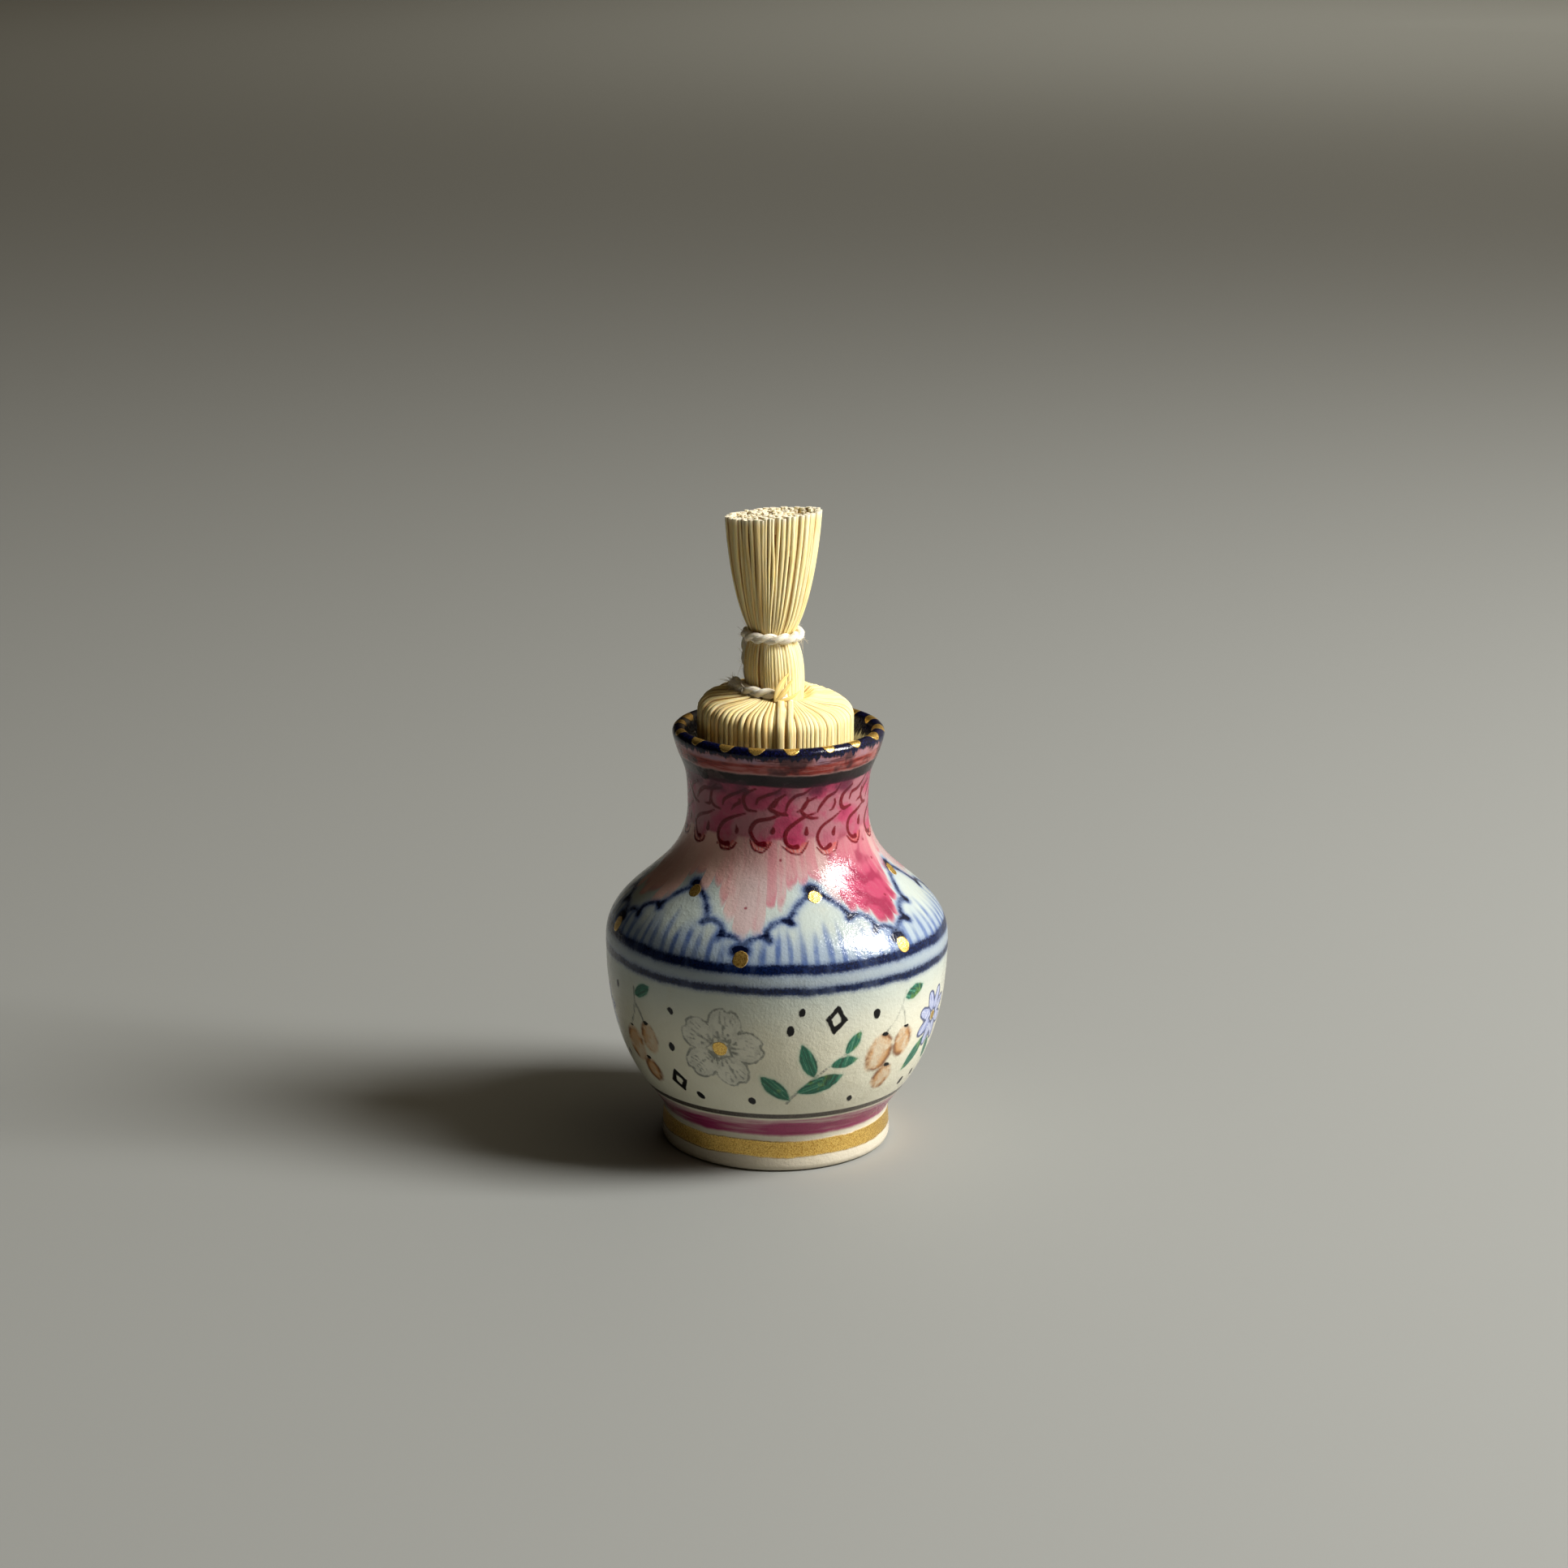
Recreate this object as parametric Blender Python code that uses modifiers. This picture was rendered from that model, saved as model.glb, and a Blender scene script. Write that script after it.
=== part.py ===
"""A small porcelain sweets bottle with a stopper of plant fibre, tied with twine.

Metres, +Z up. The origin is the centre of the foot, on the surface that the bottle stands on.
The bottle is turned and hollow, and open at its mouth. The stopper rests in the throat and lifts out.
"""

import math
from collections import namedtuple

import bmesh
import bpy
from mathutils import Matrix, Vector

MM = 0.001

# Bottle, outside
FOOT_RADIUS = 17.7 * MM
FOOT_TOP_RADIUS = 17.35 * MM
FOOT_HEIGHT = 5.2 * MM
BELLY_RADIUS = 26.2 * MM
BELLY_HEIGHT = 32.2 * MM
NECK_RADIUS = 13.7 * MM
NECK_HEIGHT = 53.0 * MM
LIP_RADIUS = 16.0 * MM
LIP_HEIGHT = 64.0 * MM

# Bottle, walls and underside
BELLY_WALL = 2.6 * MM
NECK_WALL = 2.1 * MM
FLOOR_THICKNESS = 3.0 * MM
FLOOR_CORNER = 1.5 * MM
FOOT_RING_WIDTH = 3.2 * MM
FOOT_RECESS = 1.8 * MM
FOOT_EDGE = 0.5 * MM

# How far each curve handle reaches, as a share of its span's height, and its lean from upright
FOOT_PULL = 0.135
FOOT_LEAN = math.radians(13)
BELLY_LOW_PULL = 0.74
BELLY_HIGH_PULL = 0.42
NECK_LOW_PULL = 0.55
NECK_HIGH_PULL = 0.69
LIP_PULL = 0.49
LIP_LEAN = math.radians(14)

# Stopper: the pleated disc that sits in the throat, a little to the left
SEAT_DEPTH = 4.8 * MM
SEAT_GAP = 0.35 * MM
STOPPER_SHIFT = -0.45 * MM
DISC_HEIGHT = 11.5 * MM
DISC_SHOULDER = 2.6 * MM
DISC_FOOT_EDGE = 1.4 * MM
DISC_DOME = 0.4 * MM
DISC_DIP = 1.1 * MM
DOME_RADIUS = 7.6 * MM

# Stopper: the knob over the disc, its tied waist, and the flared brush
KNOB_RADIUS = 4.6 * MM
KNOB_BASE_RADIUS = 4.2 * MM
KNOB_HEIGHT = 9.6 * MM
WAIST_RADIUS = 2.95 * MM
WAIST_SHIFT = -0.5 * MM
BRUSH_LENGTH = 18.4 * MM
BRUSH_WIDTH = 14.7 * MM
BRUSH_DEPTH = 9.0 * MM
BRUSH_HOLLOW = 0.9 * MM
CUT_SLOPE = 0.066

# Stopper: its pleats and strands
DISC_PLEATS = 56
STEM_STRANDS = 28
RING_POINTS = 2 * DISC_PLEATS
PLEAT_DEPTH = 0.22 * MM
STRAND_DEPTH = 0.18 * MM

# Twine: a loose end on the disc, a turn round the knob's base, a climb behind it, and a turn at the waist
TWINE_RADIUS = 0.7 * MM
TWINE_GAP = 0.3 * MM
TAIL_ANGLE = math.radians(32)
TAIL_REACH = 3.0 * MM
START_ANGLE = math.radians(196)
LOWER_TURN = math.radians(300)
CLIMB_TURN = math.radians(12)
UPPER_TURN = math.radians(322)
TURN_POINTS = 24
TAIL_POINTS = 6
CLIMB_POINTS = 6

# Facets
BOTTLE_STEPS = 48
LIP_STEPS = 4
MERGE = 0.001 * MM

Station = namedtuple("Station", "radius height depth pleats shift depth_share slope")


def bezier(start, handle_a, handle_b, end, steps):
    """The points of one cubic curve, from its start up to, but not including, its end."""
    points = []
    for i in range(steps):
        t = i / steps
        u = 1 - t
        points.append(u**3 * start + 3 * u * u * t * handle_a + 3 * u * t * t * handle_b + t**3 * end)
    return points


def leaning(angle):
    """A unit direction in the profile plane, leaning outwards from upright."""
    return Vector((math.sin(angle), math.cos(angle)))


def outer_curve():
    """The bottle's outside from the top of the foot to the lip, as (radius, height)."""
    up = Vector((0, 1))
    foot = Vector((FOOT_TOP_RADIUS, FOOT_HEIGHT))
    belly = Vector((BELLY_RADIUS, BELLY_HEIGHT))
    neck = Vector((NECK_RADIUS, NECK_HEIGHT))
    lip = Vector((LIP_RADIUS, LIP_HEIGHT))
    body_rise = BELLY_HEIGHT - FOOT_HEIGHT
    shoulder_rise = NECK_HEIGHT - BELLY_HEIGHT
    flare_rise = LIP_HEIGHT - NECK_HEIGHT
    points = bezier(
        foot,
        foot + FOOT_PULL * body_rise * leaning(FOOT_LEAN),
        belly - BELLY_LOW_PULL * body_rise * up,
        belly,
        7,
    )
    points += bezier(
        belly,
        belly + BELLY_HIGH_PULL * shoulder_rise * up,
        neck - NECK_LOW_PULL * shoulder_rise * up,
        neck,
        9,
    )
    points += bezier(
        neck,
        neck + NECK_HIGH_PULL * flare_rise * up,
        lip - LIP_PULL * flare_rise * leaning(LIP_LEAN),
        lip,
        4,
    )
    return points + [lip]


def wall_at(height):
    """The wall's thickness, even up to the belly and from the neck, and tapering between."""
    share = (height - BELLY_HEIGHT) / (NECK_HEIGHT - BELLY_HEIGHT)
    return BELLY_WALL + (NECK_WALL - BELLY_WALL) * min(1.0, max(0.0, share))


def inner_curve(outer):
    """The outside curve moved inwards, square to itself, by the wall's thickness."""
    inner = []
    for i, point in enumerate(outer):
        along = outer[min(i + 1, len(outer) - 1)] - outer[max(i - 1, 0)]
        along.normalize()
        inward = Vector((-along.y, along.x))
        inner.append(point + wall_at(point.y) * inward)
    return inner


def bottle_profile():
    """The bottle's whole section: up the inside from the floor, over the lip, and down the outside."""
    outer = outer_curve()
    floor_height = FOOT_RECESS + FLOOR_THICKNESS
    inner = [p for p in inner_curve(outer) if p.y > floor_height + FLOOR_CORNER]
    inner = inner[:-1:2] + [inner[-1]]
    floor_edge = Vector((inner[0].x - FLOOR_CORNER, floor_height))
    lip_centre = (inner[-1] + outer[-1]) / 2
    lip_reach = inner[-1] - lip_centre
    lip = []
    for i in range(1, LIP_STEPS):
        lip.append(lip_centre + Matrix.Rotation(-math.pi * i / LIP_STEPS, 2) @ lip_reach)
    foot = [
        Vector((FOOT_RADIUS, FOOT_EDGE)),
        Vector((FOOT_RADIUS - FOOT_EDGE, 0)),
        Vector((FOOT_RADIUS - FOOT_RING_WIDTH, 0)),
        Vector((FOOT_RADIUS - FOOT_RING_WIDTH - FOOT_EDGE, FOOT_RECESS)),
    ]
    return (
        [Vector((0, floor_height)), floor_edge]
        + inner
        + lip
        + outer[::-1]
        + foot
        + [Vector((0, FOOT_RECESS))]
    )


def throat_radius(height):
    """The inside radius of the bottle's mouth at a height, between the neck and the lip."""
    wall = inner_curve(outer_curve())
    for low, high in zip(wall, wall[1:]):
        if low.y <= height <= high.y and low.y >= BELLY_HEIGHT:
            share = (height - low.y) / (high.y - low.y)
            return low.x + share * (high.x - low.x)
    return wall[-1].x


SEAT_HEIGHT = LIP_HEIGHT - SEAT_DEPTH
DISC_RADIUS = throat_radius(SEAT_HEIGHT + DISC_FOOT_EDGE) - SEAT_GAP - abs(STOPPER_SHIFT)
DISC_TOP = SEAT_HEIGHT + DISC_HEIGHT
KNOB_BASE = DISC_TOP - DISC_DIP
WAIST_HEIGHT = KNOB_BASE + KNOB_HEIGHT
BRUSH_TOP = WAIST_HEIGHT + BRUSH_LENGTH


def disc_stations():
    """The disc's rings: its foot edge, upright side, round shoulder, low dome, and dip at the knob."""
    rim = DISC_RADIUS - PLEAT_DEPTH
    shoulder_top = DISC_TOP - DISC_DOME
    spots = [
        (rim - DISC_FOOT_EDGE, SEAT_HEIGHT),
        (rim, SEAT_HEIGHT + DISC_FOOT_EDGE),
    ]
    for i in range(4):
        turn = math.radians(28 * i)
        inward = DISC_SHOULDER * (1 - math.cos(turn))
        spots.append((rim - inward, shoulder_top - DISC_SHOULDER * (1 - math.sin(turn))))
    spots.append((DOME_RADIUS, DISC_TOP))
    spots.append((KNOB_BASE_RADIUS + 0.3 * (DOME_RADIUS - KNOB_BASE_RADIUS), KNOB_BASE + 0.35 * DISC_DIP))
    return [
        Station(radius, height, PLEAT_DEPTH * radius / rim, DISC_PLEATS, STOPPER_SHIFT, 1.0, 0.0)
        for radius, height in spots
    ]


def stem_shift(height):
    """Where the stem's middle is along X: over the disc's middle at its base, further left at the waist."""
    rise = min(1.0, max(0.0, (height - KNOB_BASE) / KNOB_HEIGHT))
    return STOPPER_SHIFT + WAIST_SHIFT * rise


def stem_stations():
    """The rings of the knob, the waist and the brush, which grows oval and leans as it rises."""
    half_width = BRUSH_WIDTH / 2 - STRAND_DEPTH
    spread = half_width - WAIST_RADIUS
    bulge = KNOB_RADIUS + 0.4 * (KNOB_RADIUS - KNOB_BASE_RADIUS)
    points = bezier(
        Vector((KNOB_BASE_RADIUS, KNOB_BASE)),
        Vector((bulge, KNOB_BASE + 0.35 * KNOB_HEIGHT)),
        Vector((bulge, KNOB_BASE + 0.82 * KNOB_HEIGHT)),
        Vector((WAIST_RADIUS, WAIST_HEIGHT)),
        6,
    )
    points += bezier(
        Vector((WAIST_RADIUS, WAIST_HEIGHT)),
        Vector((WAIST_RADIUS + 0.5 * spread, WAIST_HEIGHT + 0.13 * BRUSH_LENGTH)),
        Vector((WAIST_RADIUS + 0.86 * spread, WAIST_HEIGHT + 0.58 * BRUSH_LENGTH)),
        Vector((half_width, BRUSH_TOP)),
        7,
    )
    points.append(Vector((half_width, BRUSH_TOP)))
    stations = []
    for point in points:
        opened = max(0.0, (point.x - WAIST_RADIUS) / spread) if point.y > WAIST_HEIGHT else 0.0
        stations.append(
            Station(
                point.x,
                point.y,
                STRAND_DEPTH * point.x / KNOB_RADIUS,
                STEM_STRANDS,
                stem_shift(point.y),
                1.0 - opened * (1 - BRUSH_DEPTH / BRUSH_WIDTH),
                CUT_SLOPE * opened**4,
            )
        )
    return stations


def ring_points(station):
    """One closed ring of the stopper: a pleated oval, moved along X and sloped with X."""
    points = []
    for i in range(RING_POINTS):
        angle = 2 * math.pi * i / RING_POINTS
        radius = station.radius + station.depth * math.cos(station.pleats * angle)
        x = radius * math.cos(angle)
        y = radius * math.sin(angle) * station.depth_share
        points.append(Vector((station.shift + x, y, station.height + station.slope * x)))
    return points


def loft(name, stations, bottom_centre, top_centre):
    """A closed solid through the rings of all stations, with a fan of faces at each end."""
    built = bmesh.new()
    rings = [[built.verts.new(p) for p in ring_points(s)] for s in stations]
    ends = (built.verts.new(bottom_centre), built.verts.new(top_centre))
    for i in range(RING_POINTS):
        j = (i + 1) % RING_POINTS
        built.faces.new((ends[0], rings[0][j], rings[0][i]))
        built.faces.new((ends[1], rings[-1][i], rings[-1][j]))
        for low, high in zip(rings, rings[1:]):
            built.faces.new((low[i], low[j], high[j], high[i]))
    mesh = bpy.data.meshes.new(name)
    built.to_mesh(mesh)
    built.free()
    return bpy.data.objects.new(name, mesh)


def between(stations, key, value):
    """The two neighbouring stations around a value of one of their fields, and the share between them."""
    for low, high in zip(stations, stations[1:]):
        a, b = getattr(low, key), getattr(high, key)
        if min(a, b) <= value <= max(a, b) and a != b:
            return low, high, (value - a) / (b - a)
    return stations[-1], stations[-1], 0.0


def stem_radius(height):
    """The stem's outer radius, over its strands, at a height."""
    low, high, share = between(stem_stations(), "height", max(height, KNOB_BASE))
    return low.radius + low.depth + share * (high.radius + high.depth - low.radius - low.depth)


def disc_height(radius):
    """The height of the disc's top at a radius."""
    low, high, share = between(disc_stations()[2:] + stem_stations()[:1], "radius", radius)
    return low.height + share * (high.height - low.height)


def cord_reach(height):
    """How far from the stem's middle a cord's centre clears the strands on every side of the cord."""
    off = TWINE_GAP + TWINE_RADIUS
    steps = [math.radians(angle) for angle in range(-75, 76, 15)]
    return max(stem_radius(height + off * math.sin(a)) + off * math.cos(a) for a in steps)


def cord_height(reach):
    """How high a cord's centre clears the disc's top, all the way across the cord."""
    off = TWINE_GAP + TWINE_RADIUS
    steps = [math.radians(angle) for angle in range(-75, 76, 15)]
    return max(disc_height(reach + off * math.sin(a)) + off * math.cos(a) for a in steps)


def beside_stem(angle, reach, height):
    """A point at an angle and a distance from the stem's middle."""
    return Vector((stem_shift(height) + reach * math.cos(angle), reach * math.sin(angle), height))


def twine_route():
    """The twine's middle line: the loose end, the lower turn, the climb and the upper turn."""
    low_reach = cord_reach(KNOB_BASE + TWINE_GAP + TWINE_RADIUS)
    low = cord_height(low_reach)
    top_reach = cord_reach(WAIST_HEIGHT)
    route = []
    for i in range(TAIL_POINTS, 0, -1):
        share = i / TAIL_POINTS
        reach = low_reach + TAIL_REACH * share
        route.append(beside_stem(START_ANGLE - TAIL_ANGLE * share, reach, cord_height(reach)))
    for i in range(TURN_POINTS + 1):
        route.append(beside_stem(START_ANGLE + LOWER_TURN * i / TURN_POINTS, low_reach, low))
    climb_angle = START_ANGLE + LOWER_TURN
    for i in range(1, CLIMB_POINTS):
        share = i / CLIMB_POINTS
        height = low + (WAIST_HEIGHT - low) * share
        route.append(beside_stem(climb_angle + CLIMB_TURN * share, cord_reach(height), height))
    for i in range(TURN_POINTS + 1):
        angle = climb_angle + CLIMB_TURN + UPPER_TURN * i / TURN_POINTS
        route.append(beside_stem(angle, top_reach, WAIST_HEIGHT))
    return route


def tube(name, route, radius):
    """A round cord with closed ends along a line of points."""
    curve = bpy.data.curves.new(name, "CURVE")
    curve.dimensions = "3D"
    curve.bevel_depth = radius
    curve.bevel_resolution = 2
    curve.use_fill_caps = True
    spline = curve.splines.new("POLY")
    spline.points.add(len(route) - 1)
    for spot, point in zip(spline.points, route):
        spot.co = (*point, 1.0)
    return bpy.data.objects.new(name, curve)


def turned(name, profile, steps):
    """A solid turned about Z from a section that begins and ends on the axis."""
    built = bmesh.new()
    verts = [built.verts.new((p.x, 0, p.y)) for p in profile]
    for a, b in zip(verts, verts[1:]):
        built.edges.new((a, b))
    mesh = bpy.data.meshes.new(name)
    built.to_mesh(mesh)
    built.free()
    shape = bpy.data.objects.new(name, mesh)
    screw = shape.modifiers.new("turn", "SCREW")
    screw.axis = "Z"
    screw.angle = 2 * math.pi
    screw.steps = steps
    screw.render_steps = steps
    screw.use_merge_vertices = True
    screw.merge_threshold = MERGE
    screw.use_smooth_shade = True
    return shape


def material(name, colour, roughness):
    """A plain surface of one colour."""
    made = bpy.data.materials.new(name)
    made.use_nodes = True
    shader = made.node_tree.nodes["Principled BSDF"]
    shader.inputs["Base Color"].default_value = (*colour, 1.0)
    shader.inputs["Roughness"].default_value = roughness
    shader.inputs["Metallic"].default_value = 0.0
    return made


def main():
    for old in list(bpy.data.objects):
        bpy.data.objects.remove(old)
    collection = bpy.data.collections.new("sweets_bottle")
    bpy.context.scene.collection.children.link(collection)

    bottle = turned("bottle", bottle_profile(), BOTTLE_STEPS)
    bottle.data.materials.append(material("glazed_porcelain", (0.86, 0.84, 0.76), 0.18))

    bottom_centre = Vector((STOPPER_SHIFT, 0, SEAT_HEIGHT))
    top_centre = Vector((stem_shift(BRUSH_TOP), 0, BRUSH_TOP - BRUSH_HOLLOW))
    stopper = loft("stopper", disc_stations() + stem_stations(), bottom_centre, top_centre)
    stopper.data.materials.append(material("dried_rush", (0.84, 0.72, 0.45), 0.65))

    twine = tube("twine", twine_route(), TWINE_RADIUS)
    twine.data.materials.append(material("cotton_twine", (0.85, 0.76, 0.60), 0.85))

    for piece in (bottle, stopper, twine):
        collection.objects.link(piece)
    twine.parent = stopper


main()
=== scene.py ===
"""Looks of a small painted porcelain bottle for tiny sweets, and of its tied stopper of split stems.

Sizes in the classes are millimetres, and angles are degrees, unless a name says otherwise. Azimuth 0 is
the side towards the camera (-Y), and azimuth grows to the right (+X). A distance that belongs to a
painted shape is signed: it is negative inside the shape.
"""

import logging
import math
from collections.abc import Callable
from dataclasses import dataclass
from enum import Enum

import bmesh
import bpy
import numpy as np
from mathutils import Matrix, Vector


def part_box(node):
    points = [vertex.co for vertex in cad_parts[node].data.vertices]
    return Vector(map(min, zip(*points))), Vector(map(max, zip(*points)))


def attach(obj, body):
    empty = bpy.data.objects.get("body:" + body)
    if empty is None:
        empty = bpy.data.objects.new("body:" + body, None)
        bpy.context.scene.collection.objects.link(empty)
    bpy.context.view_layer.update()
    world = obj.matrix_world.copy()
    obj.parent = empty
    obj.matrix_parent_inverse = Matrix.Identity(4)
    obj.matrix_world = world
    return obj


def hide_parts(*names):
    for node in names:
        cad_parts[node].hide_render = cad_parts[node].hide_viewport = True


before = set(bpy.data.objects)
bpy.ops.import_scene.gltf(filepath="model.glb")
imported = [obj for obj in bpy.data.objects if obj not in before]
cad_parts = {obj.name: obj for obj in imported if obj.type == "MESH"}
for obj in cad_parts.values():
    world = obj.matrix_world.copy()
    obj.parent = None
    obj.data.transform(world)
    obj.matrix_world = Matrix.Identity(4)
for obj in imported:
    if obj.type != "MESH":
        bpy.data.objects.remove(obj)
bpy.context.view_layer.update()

MM = 0.001
FAR = 4.0
SEED = 20
log = logging.getLogger("sweets_bottle")
Array = np.ndarray


class Slot(Enum):
    """The record's material slots."""

    PORCELAIN = "porcelain"
    FIBRE = "plant_fibre"
    TWINE = "cotton_twine"


class Layer(Enum):
    """The painted layers that the bottle's mesh carries, each a signed distance in millimetres."""

    LAPPET = "lappet"
    LOBE = "lobe"
    SCROLL = "scroll"
    HATCH = "hatch"
    WASH = "wash"
    PETAL = "petal"
    VEIN = "vein"
    LEAF = "leaf"
    FRUIT = "fruit"
    BLOOM = "bloom"
    INK = "ink"
    GILT = "gilt"


class Motif(Enum):
    """The kinds of small picture in the belly's painted band."""

    BLOSSOM = "blossom"
    LEAVES = "leaves"
    FRUITS = "fruits"
    DAISY = "daisy"
    LOZENGE = "lozenge"


def srgb(red: int, green: int, blue: int) -> tuple[float, float, float]:
    """A display colour, 0 to 255 in each channel, as linear light.

    Args:
        red, green, blue: the display values.

    Returns:
        The three linear values.
    """
    values = np.array([red, green, blue]) / 255.0
    linear = np.where(values <= 0.04045, values / 12.92, ((values + 0.055) / 1.055) ** 2.4)
    return tuple(float(v) for v in linear)


def bezier(start: tuple, handle_a: tuple, handle_b: tuple, end: tuple, count: int) -> Array:
    """Points of one cubic curve: the four corners weighted by the cubic Bernstein terms.

    Args:
        start, handle_a, handle_b, end: the curve's corners as (x, y).
        count: how many points, both ends included.

    Returns:
        An array of count by 2.
    """
    t = np.linspace(0.0, 1.0, count)[:, None]
    corners = [np.array(p, float) for p in (start, handle_a, handle_b, end)]
    weights = [(1 - t) ** 3, 3 * (1 - t) ** 2 * t, 3 * (1 - t) * t**2, t**3]
    return sum(w * c for w, c in zip(weights, corners))


def arc_length(points: Array) -> Array:
    """The running length along a chain of points, from 0."""
    steps = np.linalg.norm(np.diff(points, axis=0), axis=1)
    return np.concatenate([[0.0], np.cumsum(steps)])


def resample(points: Array, places: Array) -> Array:
    """The points of a chain at given running lengths.

    Args:
        points: the chain, n by d.
        places: the lengths along it.

    Returns:
        An array of len(places) by d.
    """
    run = arc_length(points)
    return np.stack([np.interp(places, run, points[:, k]) for k in range(points.shape[1])], axis=1)


def smooth_waves(rng: np.random.Generator, count: int, places: Array, waves: int = 3) -> Array:
    """Gentle random curves between about -1 and 1: sums of a few sines of random phase.

    Args:
        rng: the seeded source of chance.
        count: how many curves.
        places: where to read them, from 0 to 1.
        waves: how many sines each sums.

    Returns:
        An array of count by len(places).
    """
    total = np.zeros((count, len(places)))
    for k in range(1, waves + 1):
        phase = rng.uniform(0, 2 * np.pi, (count, 1))
        height = rng.normal(0, 1, (count, 1)) / (waves * k**0.5)
        total += height * np.sin(2 * np.pi * k * 0.7 * places[None, :] + phase)
    return total


def running_mean(chain: Array, kernel: Array) -> Array:
    """The weighted mean of each point and its neighbours: the columns convolved with the kernel."""
    weights = kernel / kernel.sum()
    return np.stack([np.convolve(column, weights, "valid") for column in chain.T], axis=1)


def stand_for(
    piece: bpy.types.Object, node: str, material: bpy.types.Material
) -> bpy.types.Object:
    """Dresses a piece and places it with the CAD node that it stands for.

    Args:
        piece: the finished piece.
        node: the CAD node.
        material: its finish.

    Returns:
        The same piece.
    """
    piece.data.materials.append(material)
    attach(piece, "root")
    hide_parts(node)
    return piece


class MeshMaker:
    """Puts arrays of points and faces into Blender as closed, smooth-shaded pieces."""

    @staticmethod
    def piece(name: str, points: Array, faces: list, layers: dict, sharp: float = 50.0) -> bpy.types.Object:
        """One object at the origin, with its point layers and its faces turned outwards.

        Args:
            name: the piece's name.
            points: its vertices in millimetres, n by 3.
            faces: lists of vertex numbers.
            layers: attribute name to n values, or n by 3 values.
            sharp: the angle over which an edge stays sharp.

        Returns:
            The linked object.
        """
        mesh = bpy.data.meshes.new(name)
        mesh.from_pydata(points * MM, [], faces)
        for title, values in layers.items():
            kind, key = ("FLOAT", "value") if values.ndim == 1 else ("FLOAT_VECTOR", "vector")
            layer = mesh.attributes.new(title, kind, "POINT")
            layer.data.foreach_set(key, np.ascontiguousarray(values, dtype=np.float32).ravel())
        loose = bmesh.new()
        loose.from_mesh(mesh)
        bmesh.ops.recalc_face_normals(loose, faces=loose.faces)
        loose.to_mesh(mesh)
        loose.free()
        mesh.shade_smooth()
        mesh.set_sharp_from_angle(angle=math.radians(sharp))
        made = bpy.data.objects.new(name, mesh)
        bpy.context.scene.collection.objects.link(made)
        log.info("%s: %d faces", name, len(faces))
        return made

    @staticmethod
    def lathe_faces(rows: int, columns: int) -> list:
        """The faces of a turned skin whose first and last points are its two poles.

        Args:
            rows: rings between the poles.
            columns: points in each ring.

        Returns:
            Quads between the rings, and a fan of triangles at each pole.
        """
        ring = np.arange(columns)
        after = (ring + 1) % columns
        start = 1 + columns * np.arange(rows - 1)[:, None]
        above = start + columns
        quads = np.stack([start + ring, start + after, above + after, above + ring], axis=-1)
        last = 1 + columns * (rows - 1)
        low = np.stack([np.zeros_like(ring), 1 + after, 1 + ring], axis=-1)
        high = np.stack([np.full_like(ring, last + columns), last + ring, last + after], axis=-1)
        return quads.reshape(-1, 4).tolist() + low.tolist() + high.tolist()

    @staticmethod
    def tube_faces(count: int, rings: int, sides: int) -> list:
        """The faces of many closed tubes that lie one after another in the points.

        Args:
            count: how many tubes.
            rings: rings in each.
            sides: points in each ring.

        Returns:
            Quads along the tubes, and one flat face at each end.
        """
        side = np.arange(sides)
        after = (side + 1) % sides
        ring = sides * np.arange(rings - 1)[:, None]
        quad = np.stack([ring + side, ring + after, ring + sides + after, ring + sides + side], axis=-1)
        base = rings * sides * np.arange(count)
        quads = base[:, None, None] + quad.reshape(1, -1, 4)
        first = base[:, None] + side[::-1]
        last = base[:, None] + (rings - 1) * sides + side
        return quads.reshape(-1, 4).tolist() + first.tolist() + last.tolist()


def operator(operation: str, from_right: bool = False) -> Callable:
    """A method of Wire that adds one Math node.

    Args:
        operation: the node's operation.
        from_right: whether the wire is the second value.

    Returns:
        The method.
    """

    def method(wire: "Wire", other: "Wire | float") -> "Wire":
        """The node's result."""
        values = (other, wire) if from_right else (wire, other)
        return wire.board.math(operation, *values)

    return method


class Wire:
    """A shader socket that sums, scales and compares like a number. The larger of two masks is a | b."""

    __add__ = operator("ADD")
    __radd__ = operator("ADD", True)
    __sub__ = operator("SUBTRACT")
    __rsub__ = operator("SUBTRACT", True)
    __mul__ = operator("MULTIPLY")
    __rmul__ = operator("MULTIPLY", True)
    __truediv__ = operator("DIVIDE")
    __or__ = operator("MAXIMUM")

    def __init__(self, board: "NodeBoard", socket: bpy.types.NodeSocket) -> None:
        """Wraps one output socket of a board."""
        self.board = board
        self.socket = socket

    def __neg__(self) -> "Wire":
        """The opposite."""
        return self * -1.0


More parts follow.
